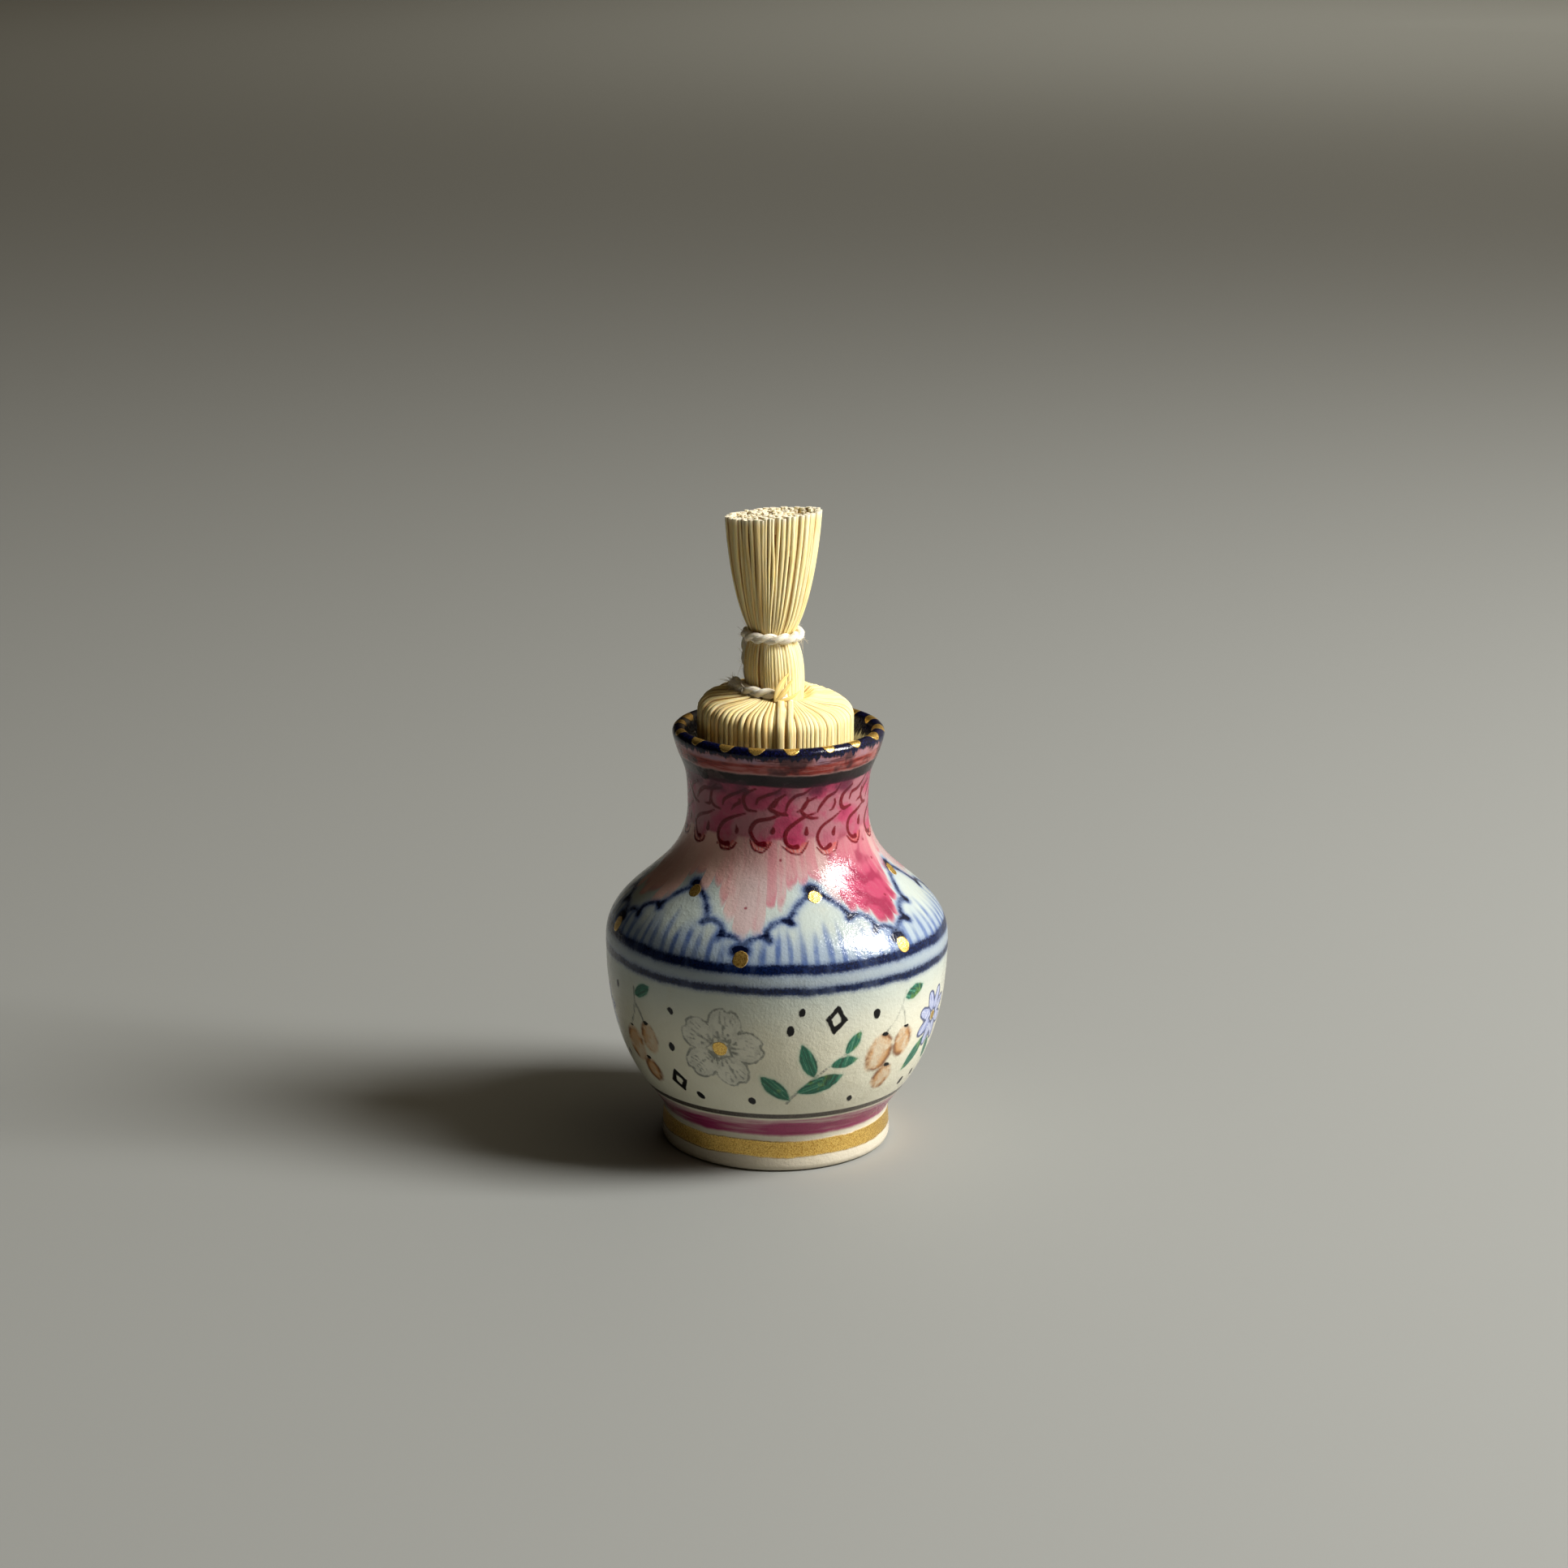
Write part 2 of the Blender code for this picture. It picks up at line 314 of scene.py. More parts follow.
class NodeBoard:
    """One material's nodes, written as expressions."""

    def __init__(self, name: str) -> None:
        """Starts a material that holds only its shader and its output."""
        self.material = bpy.data.materials.new(name)
        self.material.use_nodes = True
        self.tree = self.material.node_tree
        self.shader = self.tree.nodes["Principled BSDF"]

    def node(self, kind: str, settings: dict, values: dict) -> bpy.types.Node:
        """Any node: its settings first, then the values or links of its sockets.

        Args:
            kind: the node's type.
            settings: property names to values.
            values: input names or numbers to a Wire or a plain value.

        Returns:
            The node.
        """
        made = self.tree.nodes.new(kind)
        for key, value in settings.items():
            setattr(made, key, value)
        for key, value in values.items():
            self.feed(made.inputs[key], value)
        return made

    def feed(self, socket: bpy.types.NodeSocket, value: object) -> None:
        """Links a wire to a socket, or sets a plain value on it."""
        if isinstance(value, Wire):
            self.tree.links.new(value.socket, socket)
        elif isinstance(value, tuple) and socket.type == "RGBA":
            socket.default_value = (*value, 1.0)
        else:
            socket.default_value = value

    def math(self, operation: str, *values: "Wire | float") -> Wire:
        """One Math node's result."""
        made = self.node("ShaderNodeMath", {"operation": operation}, dict(enumerate(values)))
        return Wire(self, made.outputs[0])

    def layer(self, title: str) -> Wire:
        """A number that the mesh carries at each vertex."""
        made = self.node("ShaderNodeAttribute", {"attribute_name": title}, {})
        return Wire(self, made.outputs["Fac"])

    def layer_vector(self, title: str) -> Wire:
        """Three numbers that the mesh carries at each vertex."""
        made = self.node("ShaderNodeAttribute", {"attribute_name": title}, {})
        return Wire(self, made.outputs["Vector"])

    def place(self) -> Wire:
        """The point on the piece, in millimetres."""
        made = self.node("ShaderNodeTexCoord", {}, {})
        return self.scaled(Wire(self, made.outputs["Object"]), (1 / MM, 1 / MM, 1 / MM))

    def scaled(self, vector: Wire, factors: tuple) -> Wire:
        """A vector stretched along its three axes."""
        made = self.node("ShaderNodeVectorMath", {"operation": "MULTIPLY"}, {0: vector, 1: factors})
        return Wire(self, made.outputs[0])

    def split(self, vector: Wire) -> tuple[Wire, Wire, Wire]:
        """The three parts of a vector."""
        made = self.node("ShaderNodeSeparateXYZ", {}, {0: vector})
        return Wire(self, made.outputs[0]), Wire(self, made.outputs[1]), Wire(self, made.outputs[2])

    def join(self, x: "Wire | float", y: "Wire | float", z: "Wire | float") -> Wire:
        """A vector from its three parts."""
        made = self.node("ShaderNodeCombineXYZ", {}, {0: x, 1: y, 2: z})
        return Wire(self, made.outputs[0])

    def noise(self, vector: Wire, scale: float, detail: float = 2.0, rough: float = 0.5) -> Wire:
        """Soft random values, from 0 to 1 and mostly near a half."""
        values = {"Vector": vector, "Scale": scale, "Detail": detail, "Roughness": rough}
        made = self.node("ShaderNodeTexNoise", {}, values)
        return Wire(self, made.outputs[0])

    def cells(self, vector: Wire, scale: float) -> Wire:
        """The distance to the nearest of scattered points."""
        made = self.node("ShaderNodeTexVoronoi", {}, {"Vector": vector, "Scale": scale})
        return Wire(self, made.outputs["Distance"])

    def ramp(self, value: Wire, low: float, high: float, start: float = 0.0, end: float = 1.0) -> Wire:
        """A smooth step of a value.

        Args:
            value: what is read.
            low, high: where the step starts and ends.
            start, end: the results there.

        Returns:
            The stepped value, held at its ends outside the range.
        """
        values = {"Value": value, "From Min": low, "From Max": high, "To Min": start, "To Max": end}
        made = self.node("ShaderNodeMapRange", {"interpolation_type": "SMOOTHSTEP"}, values)
        return Wire(self, made.outputs[0])

    def inside(self, distance: Wire, edge: float, soft: float) -> Wire:
        """1 where a signed distance is under an edge, falling to 0 over twice the softness."""
        return self.ramp(distance, edge - soft, edge + soft, 1.0, 0.0)

    def band(self, value: Wire, low: float, high: float, soft: float) -> Wire:
        """1 between two values, with soft edges."""
        rise = self.ramp(value, low - soft, low + soft)
        return rise * self.ramp(value, high - soft, high + soft, 1.0, 0.0)

    def mix(self, mask: "Wire | float", under: "Wire | tuple", over: "Wire | tuple") -> Wire:
        """One colour laid over another by a mask."""
        settings = {"data_type": "RGBA", "clamp_factor": True}
        made = self.node("ShaderNodeMix", settings, {0: mask, 6: under, 7: over})
        return Wire(self, made.outputs[2])

    def bump(self, height: Wire, distance: float, strength: float = 1.0) -> Wire:
        """A normal bent by a height, whose whole range stands that many millimetres high."""
        values = {"Height": height, "Distance": distance * MM, "Strength": strength}
        made = self.node("ShaderNodeBump", {}, values)
        return Wire(self, made.outputs[0])

    def finish(self, values: dict) -> bpy.types.Material:
        """Feeds the shader's sockets and returns the material."""
        for key, value in values.items():
            self.feed(self.shader.inputs[key], value)
        return self.material


@dataclass(frozen=True)
class BottleSection:
    """The bottle's section, as the CAD solid has it, with its corners softened."""

    foot_radius: float = 17.7
    foot_top_radius: float = 17.35
    foot_height: float = 5.2
    belly_radius: float = 26.2
    belly_height: float = 32.2
    neck_radius: float = 13.7
    neck_height: float = 53.0
    lip_radius: float = 16.0
    lip_height: float = 64.0
    belly_wall: float = 2.6
    neck_wall: float = 2.1
    floor_height: float = 4.8
    floor_corner: float = 1.5
    foot_ring: float = 3.2
    foot_recess: float = 1.8
    foot_edge: float = 0.5
    foot_pull: float = 0.135
    foot_lean: float = math.radians(13)
    belly_low_pull: float = 0.74
    belly_high_pull: float = 0.42
    neck_low_pull: float = 0.55
    neck_high_pull: float = 0.69
    lip_pull: float = 0.49
    lip_lean: float = math.radians(14)
    soften: float = 0.22
    fine_step: float = 0.05

    def outer(self) -> Array:
        """The outside from the top of the foot to the lip: three cubic curves, end to end."""
        body = self.belly_height - self.foot_height
        shoulder = self.neck_height - self.belly_height
        flare = self.lip_height - self.neck_height
        foot, lip = self.foot_pull * body, self.lip_pull * flare
        foot_x, foot_z = foot * math.sin(self.foot_lean), foot * math.cos(self.foot_lean)
        lip_x, lip_z = lip * math.sin(self.lip_lean), lip * math.cos(self.lip_lean)
        corners = (
            (self.foot_top_radius, self.foot_height),
            (self.foot_top_radius + foot_x, self.foot_height + foot_z),
            (self.belly_radius, self.belly_height - self.belly_low_pull * body),
            (self.belly_radius, self.belly_height),
            (self.belly_radius, self.belly_height + self.belly_high_pull * shoulder),
            (self.neck_radius, self.neck_height - self.neck_low_pull * shoulder),
            (self.neck_radius, self.neck_height),
            (self.neck_radius, self.neck_height + self.neck_high_pull * flare),
            (self.lip_radius - lip_x, self.lip_height - lip_z),
            (self.lip_radius, self.lip_height),
        )
        body_span, shoulder_span, lip_span = (
            bezier(*corners[first : first + 4], count) for first, count in ((0, 400), (3, 400), (6, 300))
        )
        return np.concatenate([body_span, shoulder_span[1:], lip_span[1:]])

    def inner(self, outer: Array) -> Array:
        """The outside moved inwards, square to itself, by a wall that thins from belly to neck."""
        along = np.gradient(outer, axis=0)
        along /= np.linalg.norm(along, axis=1, keepdims=True)
        inward = np.stack([-along[:, 1], along[:, 0]], axis=1)
        share = np.clip((outer[:, 1] - self.belly_height) / (self.neck_height - self.belly_height), 0, 1)
        wall = self.belly_wall + (self.neck_wall - self.belly_wall) * share
        moved = outer + wall[:, None] * inward
        return moved[moved[:, 1] > self.floor_height + self.floor_corner]

    def whole(self) -> Array:
        """The closed section, from the floor's middle, over the lip, to the middle underneath.

        Returns:
            Points as (radius, height), evenly close, with every corner rounded by a running mean.
        """
        outer = self.outer()
        inner = self.inner(outer)
        middle = (inner[-1] + outer[-1]) / 2
        reach = inner[-1] - middle
        turn = -np.linspace(0, np.pi, 40)[1:-1, None]
        lip = middle + reach * np.cos(turn) + np.array([-reach[1], reach[0]]) * np.sin(turn)
        floor = [(0.0, self.floor_height), (inner[0, 0] - self.floor_corner, self.floor_height)]
        ring = self.foot_radius - self.foot_ring
        foot = [
            (self.foot_radius, self.foot_edge),
            (self.foot_radius - self.foot_edge, 0.0),
            (ring, 0.0),
            (ring - self.foot_edge, self.foot_recess),
            (0.0, self.foot_recess),
        ]
        chain = np.concatenate([np.array(floor), inner, lip, outer[::-1], np.array(foot)])
        count = int(arc_length(chain)[-1] / self.fine_step)
        even = resample(chain, np.linspace(0, arc_length(chain)[-1], count))
        width = int(3 * self.soften / self.fine_step)
        kernel = np.exp(-0.5 * (np.arange(-width, width + 1) * self.fine_step / self.soften) ** 2)
        padded = np.concatenate([np.repeat(even[:1], width, 0), even, np.repeat(even[-1:], width, 0)])
        soft = running_mean(padded, kernel)
        soft[[0, -1], 0] = 0.0
        return soft


@dataclass(frozen=True)
class RowPlan:
    """How close the bottle's rows of faces lie: close where it is painted, wide elsewhere.

    Each level is a height and the spacing under it, down to the level before.
    """

    columns: int = 408
    levels: tuple = ((2.0, 0.8), (9.0, 0.5), (31.5, 0.36), (49.0, 0.4), (59.5, 0.27))
    flare: float = 0.42
    lip: float = 0.36
    lip_reach: float = 3.5
    throat_reach: float = 5.0
    foot_ring: float = 0.7
    foot_reach: float = 6.0
    hidden: float = 3.2

    def spacing(self, section: Array, run: Array, lip_run: float) -> Array:
        """The row spacing at each point of the fine section.

        Args:
            section: the fine section, as (radius, height).
            run: the length from the foot's edge, growing up the outside and on over the lip.
            lip_run: the run at the top of the lip.

        Returns:
            One spacing for each point.
        """
        tops, steps = zip(*self.levels)
        step = np.select([section[:, 1] < top for top in tops], steps, self.flare)
        step = np.where(np.abs(run - lip_run) < self.lip_reach, self.lip, step)
        step = np.where(run > lip_run + self.throat_reach, self.hidden, step)
        under = np.where(run > -self.foot_reach, self.foot_ring, self.hidden)
        return np.where(run < 0.0, under, step)


@dataclass
class Spot:
    """Where a small picture sits on the belly, how large it is and how it is turned."""

    motif: Motif
    azimuth: float
    height: float
    size: float = 1.0
    turn: float = 0.0


def pen_distance(x: Array, y: Array, line: Array, pen: Array) -> Array:
    """The distance from points to a drawn line: to its nearest segment, less the pen's half width there.

    Args:
        x, y: the points.
        line: the line's corners, n by 2.
        pen: the pen's half width at each corner.

    Returns:
        One distance for each point.
    """
    start, step = line[:-1], np.diff(line, axis=0)
    from_x, from_y = x[:, None] - start[:, 0], y[:, None] - start[:, 1]
    share = (from_x * step[:, 0] + from_y * step[:, 1]) / np.maximum((step**2).sum(1), 1e-9)
    share = np.clip(share, 0, 1)
    gap = np.hypot(from_x - share * step[:, 0], from_y - share * step[:, 1])
    return (gap - (pen[:-1] + share * np.diff(pen))).min(axis=1)


def oval_distance(x: Array, y: Array, half_x: float, half_y: float) -> Array:
    """Near enough the signed distance to an oval: its equation over the length of its slope."""
    value = (x / half_x) ** 2 + (y / half_y) ** 2 - 1
    slope = 2 * np.hypot(x / half_x**2, y / half_y**2)
    return np.maximum(value / np.maximum(slope, 0.5 / max(half_x, half_y)), -min(half_x, half_y))


def blade_distance(x: Array, y: Array, length: float, half_width: float) -> Array:
    """The signed distance to a pointed leaf from the origin along +y: two round discs, where they cross."""
    half = length / 2
    radius = (half**2 + half_width**2) / (2 * half_width)
    return np.hypot(np.abs(x) + radius - half_width, y - half) - radius


def encloses(x: Array, y: Array, outline: Array) -> Array:
    """Whether points are inside a closed outline: a line to its right crosses it an odd number of times.

    Args:
        x, y: the points.
        outline: its corners, n by 2.

    Returns:
        One truth value for each point.
    """
    start, end = outline, np.roll(outline, -1, axis=0)
    straddles = (start[:, 1] > y[:, None]) != (end[:, 1] > y[:, None])
    rise = np.where(np.abs(end[:, 1] - start[:, 1]) < 1e-9, 1e-9, end[:, 1] - start[:, 1])
    crossing = start[:, 0] + (y[:, None] - start[:, 1]) / rise * (end[:, 0] - start[:, 0])
    return (straddles & (x[:, None] < crossing)).sum(axis=1) % 2 == 1


def turned(x: Array, y: Array, angle: float) -> tuple[Array, Array]:
    """Points seen from axes that are turned clockwise by an angle in degrees."""
    c, s = math.cos(math.radians(angle)), math.sin(math.radians(angle))
    return x * c - y * s, x * s + y * c


class Canvas:
    """The bottle's skin unrolled for the painter: each vertex by azimuth, radius and run."""

    def __init__(self, azimuth: Array, radius: Array, run: Array, run_at: dict) -> None:
        """Keeps the places of the vertices and starts every layer empty.

        Args:
            azimuth: in degrees, one for each vertex.
            radius: distance from the axis.
            run: length along the section from the foot's edge.
            run_at: the heights, runs and radii of the outside, for finding one from the other.
        """
        self.azimuth = azimuth
        self.radius = radius
        self.run = run
        self.heights = run_at["height"]
        self.runs = run_at["run"]
        self.radii = run_at["radius"]
        self.layers = {layer: np.full(len(run), FAR) for layer in Layer}
        self.brush = np.zeros(len(run))
        self.rng = np.random.default_rng(SEED)

    def run_of(self, height: float) -> float:
        """The run of a height on the outside."""
        return float(np.interp(height, self.heights, self.runs))

    def near(self, azimuth: float, run: float, reach: float) -> tuple[Array, Array, Array]:
        """The vertices near a spot, and where they lie from it.

        Args:
            azimuth: the spot's azimuth.
            run: the spot's run.
            reach: how far to look.

        Returns:
            Their numbers, and their x to the right and y upwards along the skin.
        """
        apart = (self.azimuth - azimuth + 180.0) % 360.0 - 180.0
        x, y = np.radians(apart) * self.radius, self.run - run
        found = np.flatnonzero((np.abs(x) < reach) & (np.abs(y) < reach))
        return found, x[found], y[found]

    def lay(self, layer: Layer, found: Array, distance: Array, brush: Array | None = None) -> None:
        """Adds a shape to a layer, and the place across the brush where a stroke fills it.

        Args:
            layer: which layer.
            found: the vertices' numbers.
            distance: the shape's signed distance at them.
            brush: the place across the stroke, in millimetres.
        """
        held = self.layers[layer]
        if brush is not None:
            closer = distance < held[found]
            self.brush[found[closer]] = brush[closer]
        held[found] = np.minimum(held[found], distance)

    def clear_of(self, azimuth: float, height: float, room: float) -> bool:
        """Whether a spot in the picture band keeps its distance from all that is drawn there."""
        found, _, _ = self.near(azimuth, self.run_of(height), 1.0)
        drawn = (Layer.PETAL, Layer.VEIN, Layer.LEAF, Layer.FRUIT, Layer.BLOOM, Layer.INK)
        closest = min(self.layers[layer][found].min() for layer in drawn)
        return closest > room


@dataclass(frozen=True)
class LappetBorder:
    """The ring of pointed lappets round the shoulder, each edge three round lobes between sharp cusps."""

    count: int = 6
    peak_azimuth: float = 18.0
    stops: tuple = ((0.0, 43.9), (12.4, 40.3), (20.8, 38.7), (30.0, 36.9))
    bulges: tuple = (0.13, 0.29, 0.22)
    pen: float = 0.26
    cusp_pen: float = 0.34
    dot_radius: float = 1.16

    def half_outline(self, canvas: Canvas, sizes: Array) -> tuple[Array, Array]:
        """The right edge from peak to valley: on each chord between cusps stands half an oval.

        Args:
            canvas: the skin, for its radius at each height.
            sizes: how much taller or lower each stop is drawn.

        Returns:
            The points as (x, run), and the pen's half width at each.
        """
        low = self.stops[-1][1]
        corners = []
        for (azimuth, height), size in zip(self.stops, sizes):
            height = low + (height - low) * size
            radius = float(np.interp(height, canvas.heights, canvas.radii))
            corners.append(np.array([math.radians(azimuth) * radius, canvas.run_of(height)]))
        points, pens = [], []
        s = (0.5 - 0.5 * np.cos(np.linspace(0, np.pi, 15)))[:, None]
        for start, end, bulge in zip(corners, corners[1:], self.bulges):
            chord = end - start
            outward = np.array([-chord[1], chord[0]])
            arch = np.sqrt(np.clip(1 - (2 * s - 1) ** 2, 0, 1))
            points.append(start + chord * s + bulge * arch * outward)
            pens.append(self.pen + self.cusp_pen * np.abs(2 * s[:, 0] - 1) ** 4)
        return np.concatenate(points), np.concatenate(pens)

    def draw(self, canvas: Canvas) -> None:
        """Draws every lappet's edge, its side of the skin and its gold dots."""
        half_cell = 180.0 / self.count
        middle = canvas.run_of(40.0)
        for k in range(self.count):
            azimuth = self.peak_azimuth + 2 * half_cell * k
            found, x, y = canvas.near(azimuth, middle, 15.5)
            tall = 1.0 + 0.07 * canvas.rng.normal()
            halves = []
            for side in (-1, 1):
                sizes = np.array([tall, tall + 0.08 * canvas.rng.normal(), tall, 1.0])
                line, pen = self.half_outline(canvas, sizes)
                line = (line - (0.0, middle)) * (side, 1)
                canvas.lay(Layer.LAPPET, found, pen_distance(x, y, line, pen))
                halves.append(line if side > 0 else line[::-1])
            edge = np.concatenate(halves)
            floor = [(edge[-1, 0], -20.0), (edge[0, 0], -20.0)]
            away = pen_distance(x, y, edge, np.zeros(len(edge)))
            away = np.where(encloses(x, y, np.concatenate([edge, floor])), -away, away)
            own = np.abs(np.degrees(x / canvas.radius[found])) <= half_cell
            canvas.layers[Layer.LOBE][found[own]] = away[own]
            low = self.stops[-1][1]
            self.dot(canvas, azimuth, canvas.run_of(low + (self.stops[0][1] - low) * tall) - 0.5, 0.84)
            self.dot(canvas, azimuth + half_cell, canvas.run_of(low - 0.8), 1.0)

    def dot(self, canvas: Canvas, azimuth: float, run: float, share: float) -> None:
        """A raised gold dot under a dark blot of blue."""
        radius = self.dot_radius * share
        found, x, y = canvas.near(azimuth, run, 5.0)
        blot = oval_distance(x + 0.25 * radius, y - 1.1 * radius, 1.25 * radius, 0.9 * radius)
        canvas.lay(Layer.LAPPET, found, blot - 0.1)
        canvas.lay(Layer.GILT, found, oval_distance(x, y, radius, 1.08 * radius))


@dataclass(frozen=True)
class ScrollBorder:
    """The ring of brushed scrolls round the neck, over a wash with a scalloped and hatched foot.

    Each stroke is a few corners, in millimetres from the middle of its scroll's foot, and the pen's half
    width at each. A smooth curve runs through the corners.
    """

    count: int = 16
    first_azimuth: float = 12.5
    foot_height: float = 50.1
    pen: float = 0.185
    hatch: int = 11
    strokes: tuple = (
        ((3.5, 4.6, 0.6), (1.6, 3.9, 1.3), (-0.4, 3.2, 1.5), (-1.5, 1.9, 1.6), (-1.2, 0.4, 1.2),
         (-0.2, -0.2, 1.5), (0.8, 0.1, 2.6)),
        ((1.9, 2.7, 0.6), (1.85, 1.9, 2.0), (1.35, 1.0, 0.9)),
        ((-1.7, 0.5, 0.5), (-1.0, -0.75, 0.8), (0.2, -1.0, 0.8), (1.3, -0.6, 0.8), (1.8, 0.4, 0.5)),
        ((-0.6, 8.5, 0.9), (-2.3, 7.6, 1.5), (-2.9, 6.2, 1.6), (-2.1, 5.1, 1.5), (-0.5, 4.9, 0.7)),
        ((4.2, 9.0, 0.4), (2.9, 8.0, 1.1), (1.2, 7.6, 1.5), (-0.3, 6.8, 1.4), (-1.0, 5.6, 0.6)),
        ((1.0, 5.2, 0.5), (2.1, 5.6, 1.2), (2.7, 6.6, 1.3), (2.6, 7.4, 0.5)),
    )

    def curve(self, corners: Array) -> tuple[Array, Array]:
        """A smooth line through a stroke's corners: a running mean of the broken line, ends kept.

        Args:
            corners: x, y and pen, n by 3.

        Returns:
            The points, and the pen's half width at each.
        """
        run = arc_length(corners[:, :2])
        even = resample(corners, np.linspace(0, run[-1], 30))
        kernel = np.hanning(9)[1:-1]
        before = 2 * even[0] - even[3:0:-1]
        after = 2 * even[-1] - even[-2:-5:-1]
        soft = running_mean(np.concatenate([before, even, after]), kernel)
        return soft[:, :2], self.pen * soft[:, 2]

    def draw(self, canvas: Canvas) -> None:
        """Draws each scroll with its own jitter, its hatched foot and the edge of the wash."""
        rng = canvas.rng
        foot = canvas.run_of(self.foot_height)
        band = np.flatnonzero((canvas.run > foot - 3) & (canvas.run < foot + 20))
        canvas.layers[Layer.WASH][band] = foot + 1.1 - canvas.run[band]
        for k in range(self.count):
            azimuth = self.first_azimuth + 360.0 / self.count * (k + 0.07 * rng.normal())
            found, x, y = canvas.near(azimuth, foot + 0.25 * rng.normal(), 11.0)
            x, y = turned(x, y, 6 * rng.normal())
            for number, stroke in enumerate(self.strokes):
                corners = np.array(stroke)
                corners[:, :2] += rng.normal(0, 0.14 if number < 3 else 0.22, (len(corners), 2))
                line, pen = self.curve(corners)
                canvas.lay(Layer.SCROLL, found, pen_distance(x, y, line, pen * rng.uniform(0.8, 1.15)))
            canvas.lay(Layer.WASH, found, oval_distance(x - 0.1, y - 1.6, 1.85, 1.75))
            self.hatched_foot(canvas, found, x, y)

    def hatched_foot(self, canvas: Canvas, found: Array, x: Array, y: Array) -> None:
        """Fine strokes that stand on the scallop like the ribs of a fan.

        Args:
            canvas: the skin.
            found: the vertices near the scroll.
            x, y: where they lie from its foot.
        """
        turn = np.radians(np.linspace(205, 335, self.hatch))
        for angle in turn:
            spoke = np.array([(math.cos(angle), math.sin(angle))])
            line = np.array([(0.1, 0.9)]) + spoke * np.array([[1.0], [1.9]])
            canvas.lay(Layer.HATCH, found, pen_distance(x, y, line, np.array([0.05, 0.07])))


@dataclass(frozen=True)
class LipSpots:
    """Gold spots that ride over the lip."""

    count: int = 18
    first_azimuth: float = 7.6
    half_round: float = 1.15
    half_across: float = 1.4

    def draw(self, canvas: Canvas, lip_run: float) -> None:
        """Draws each spot as an oval over the top of the lip, a little outwards of it."""
        for k in range(self.count):
            azimuth = self.first_azimuth + 360.0 / self.count * (k + 0.06 * canvas.rng.normal())
            found, x, y = canvas.near(azimuth, lip_run + 0.05, 3.5)
            wide = self.half_round * (1 + 0.1 * canvas.rng.normal())
            canvas.lay(Layer.GILT, found, oval_distance(x, y, wide, self.half_across))


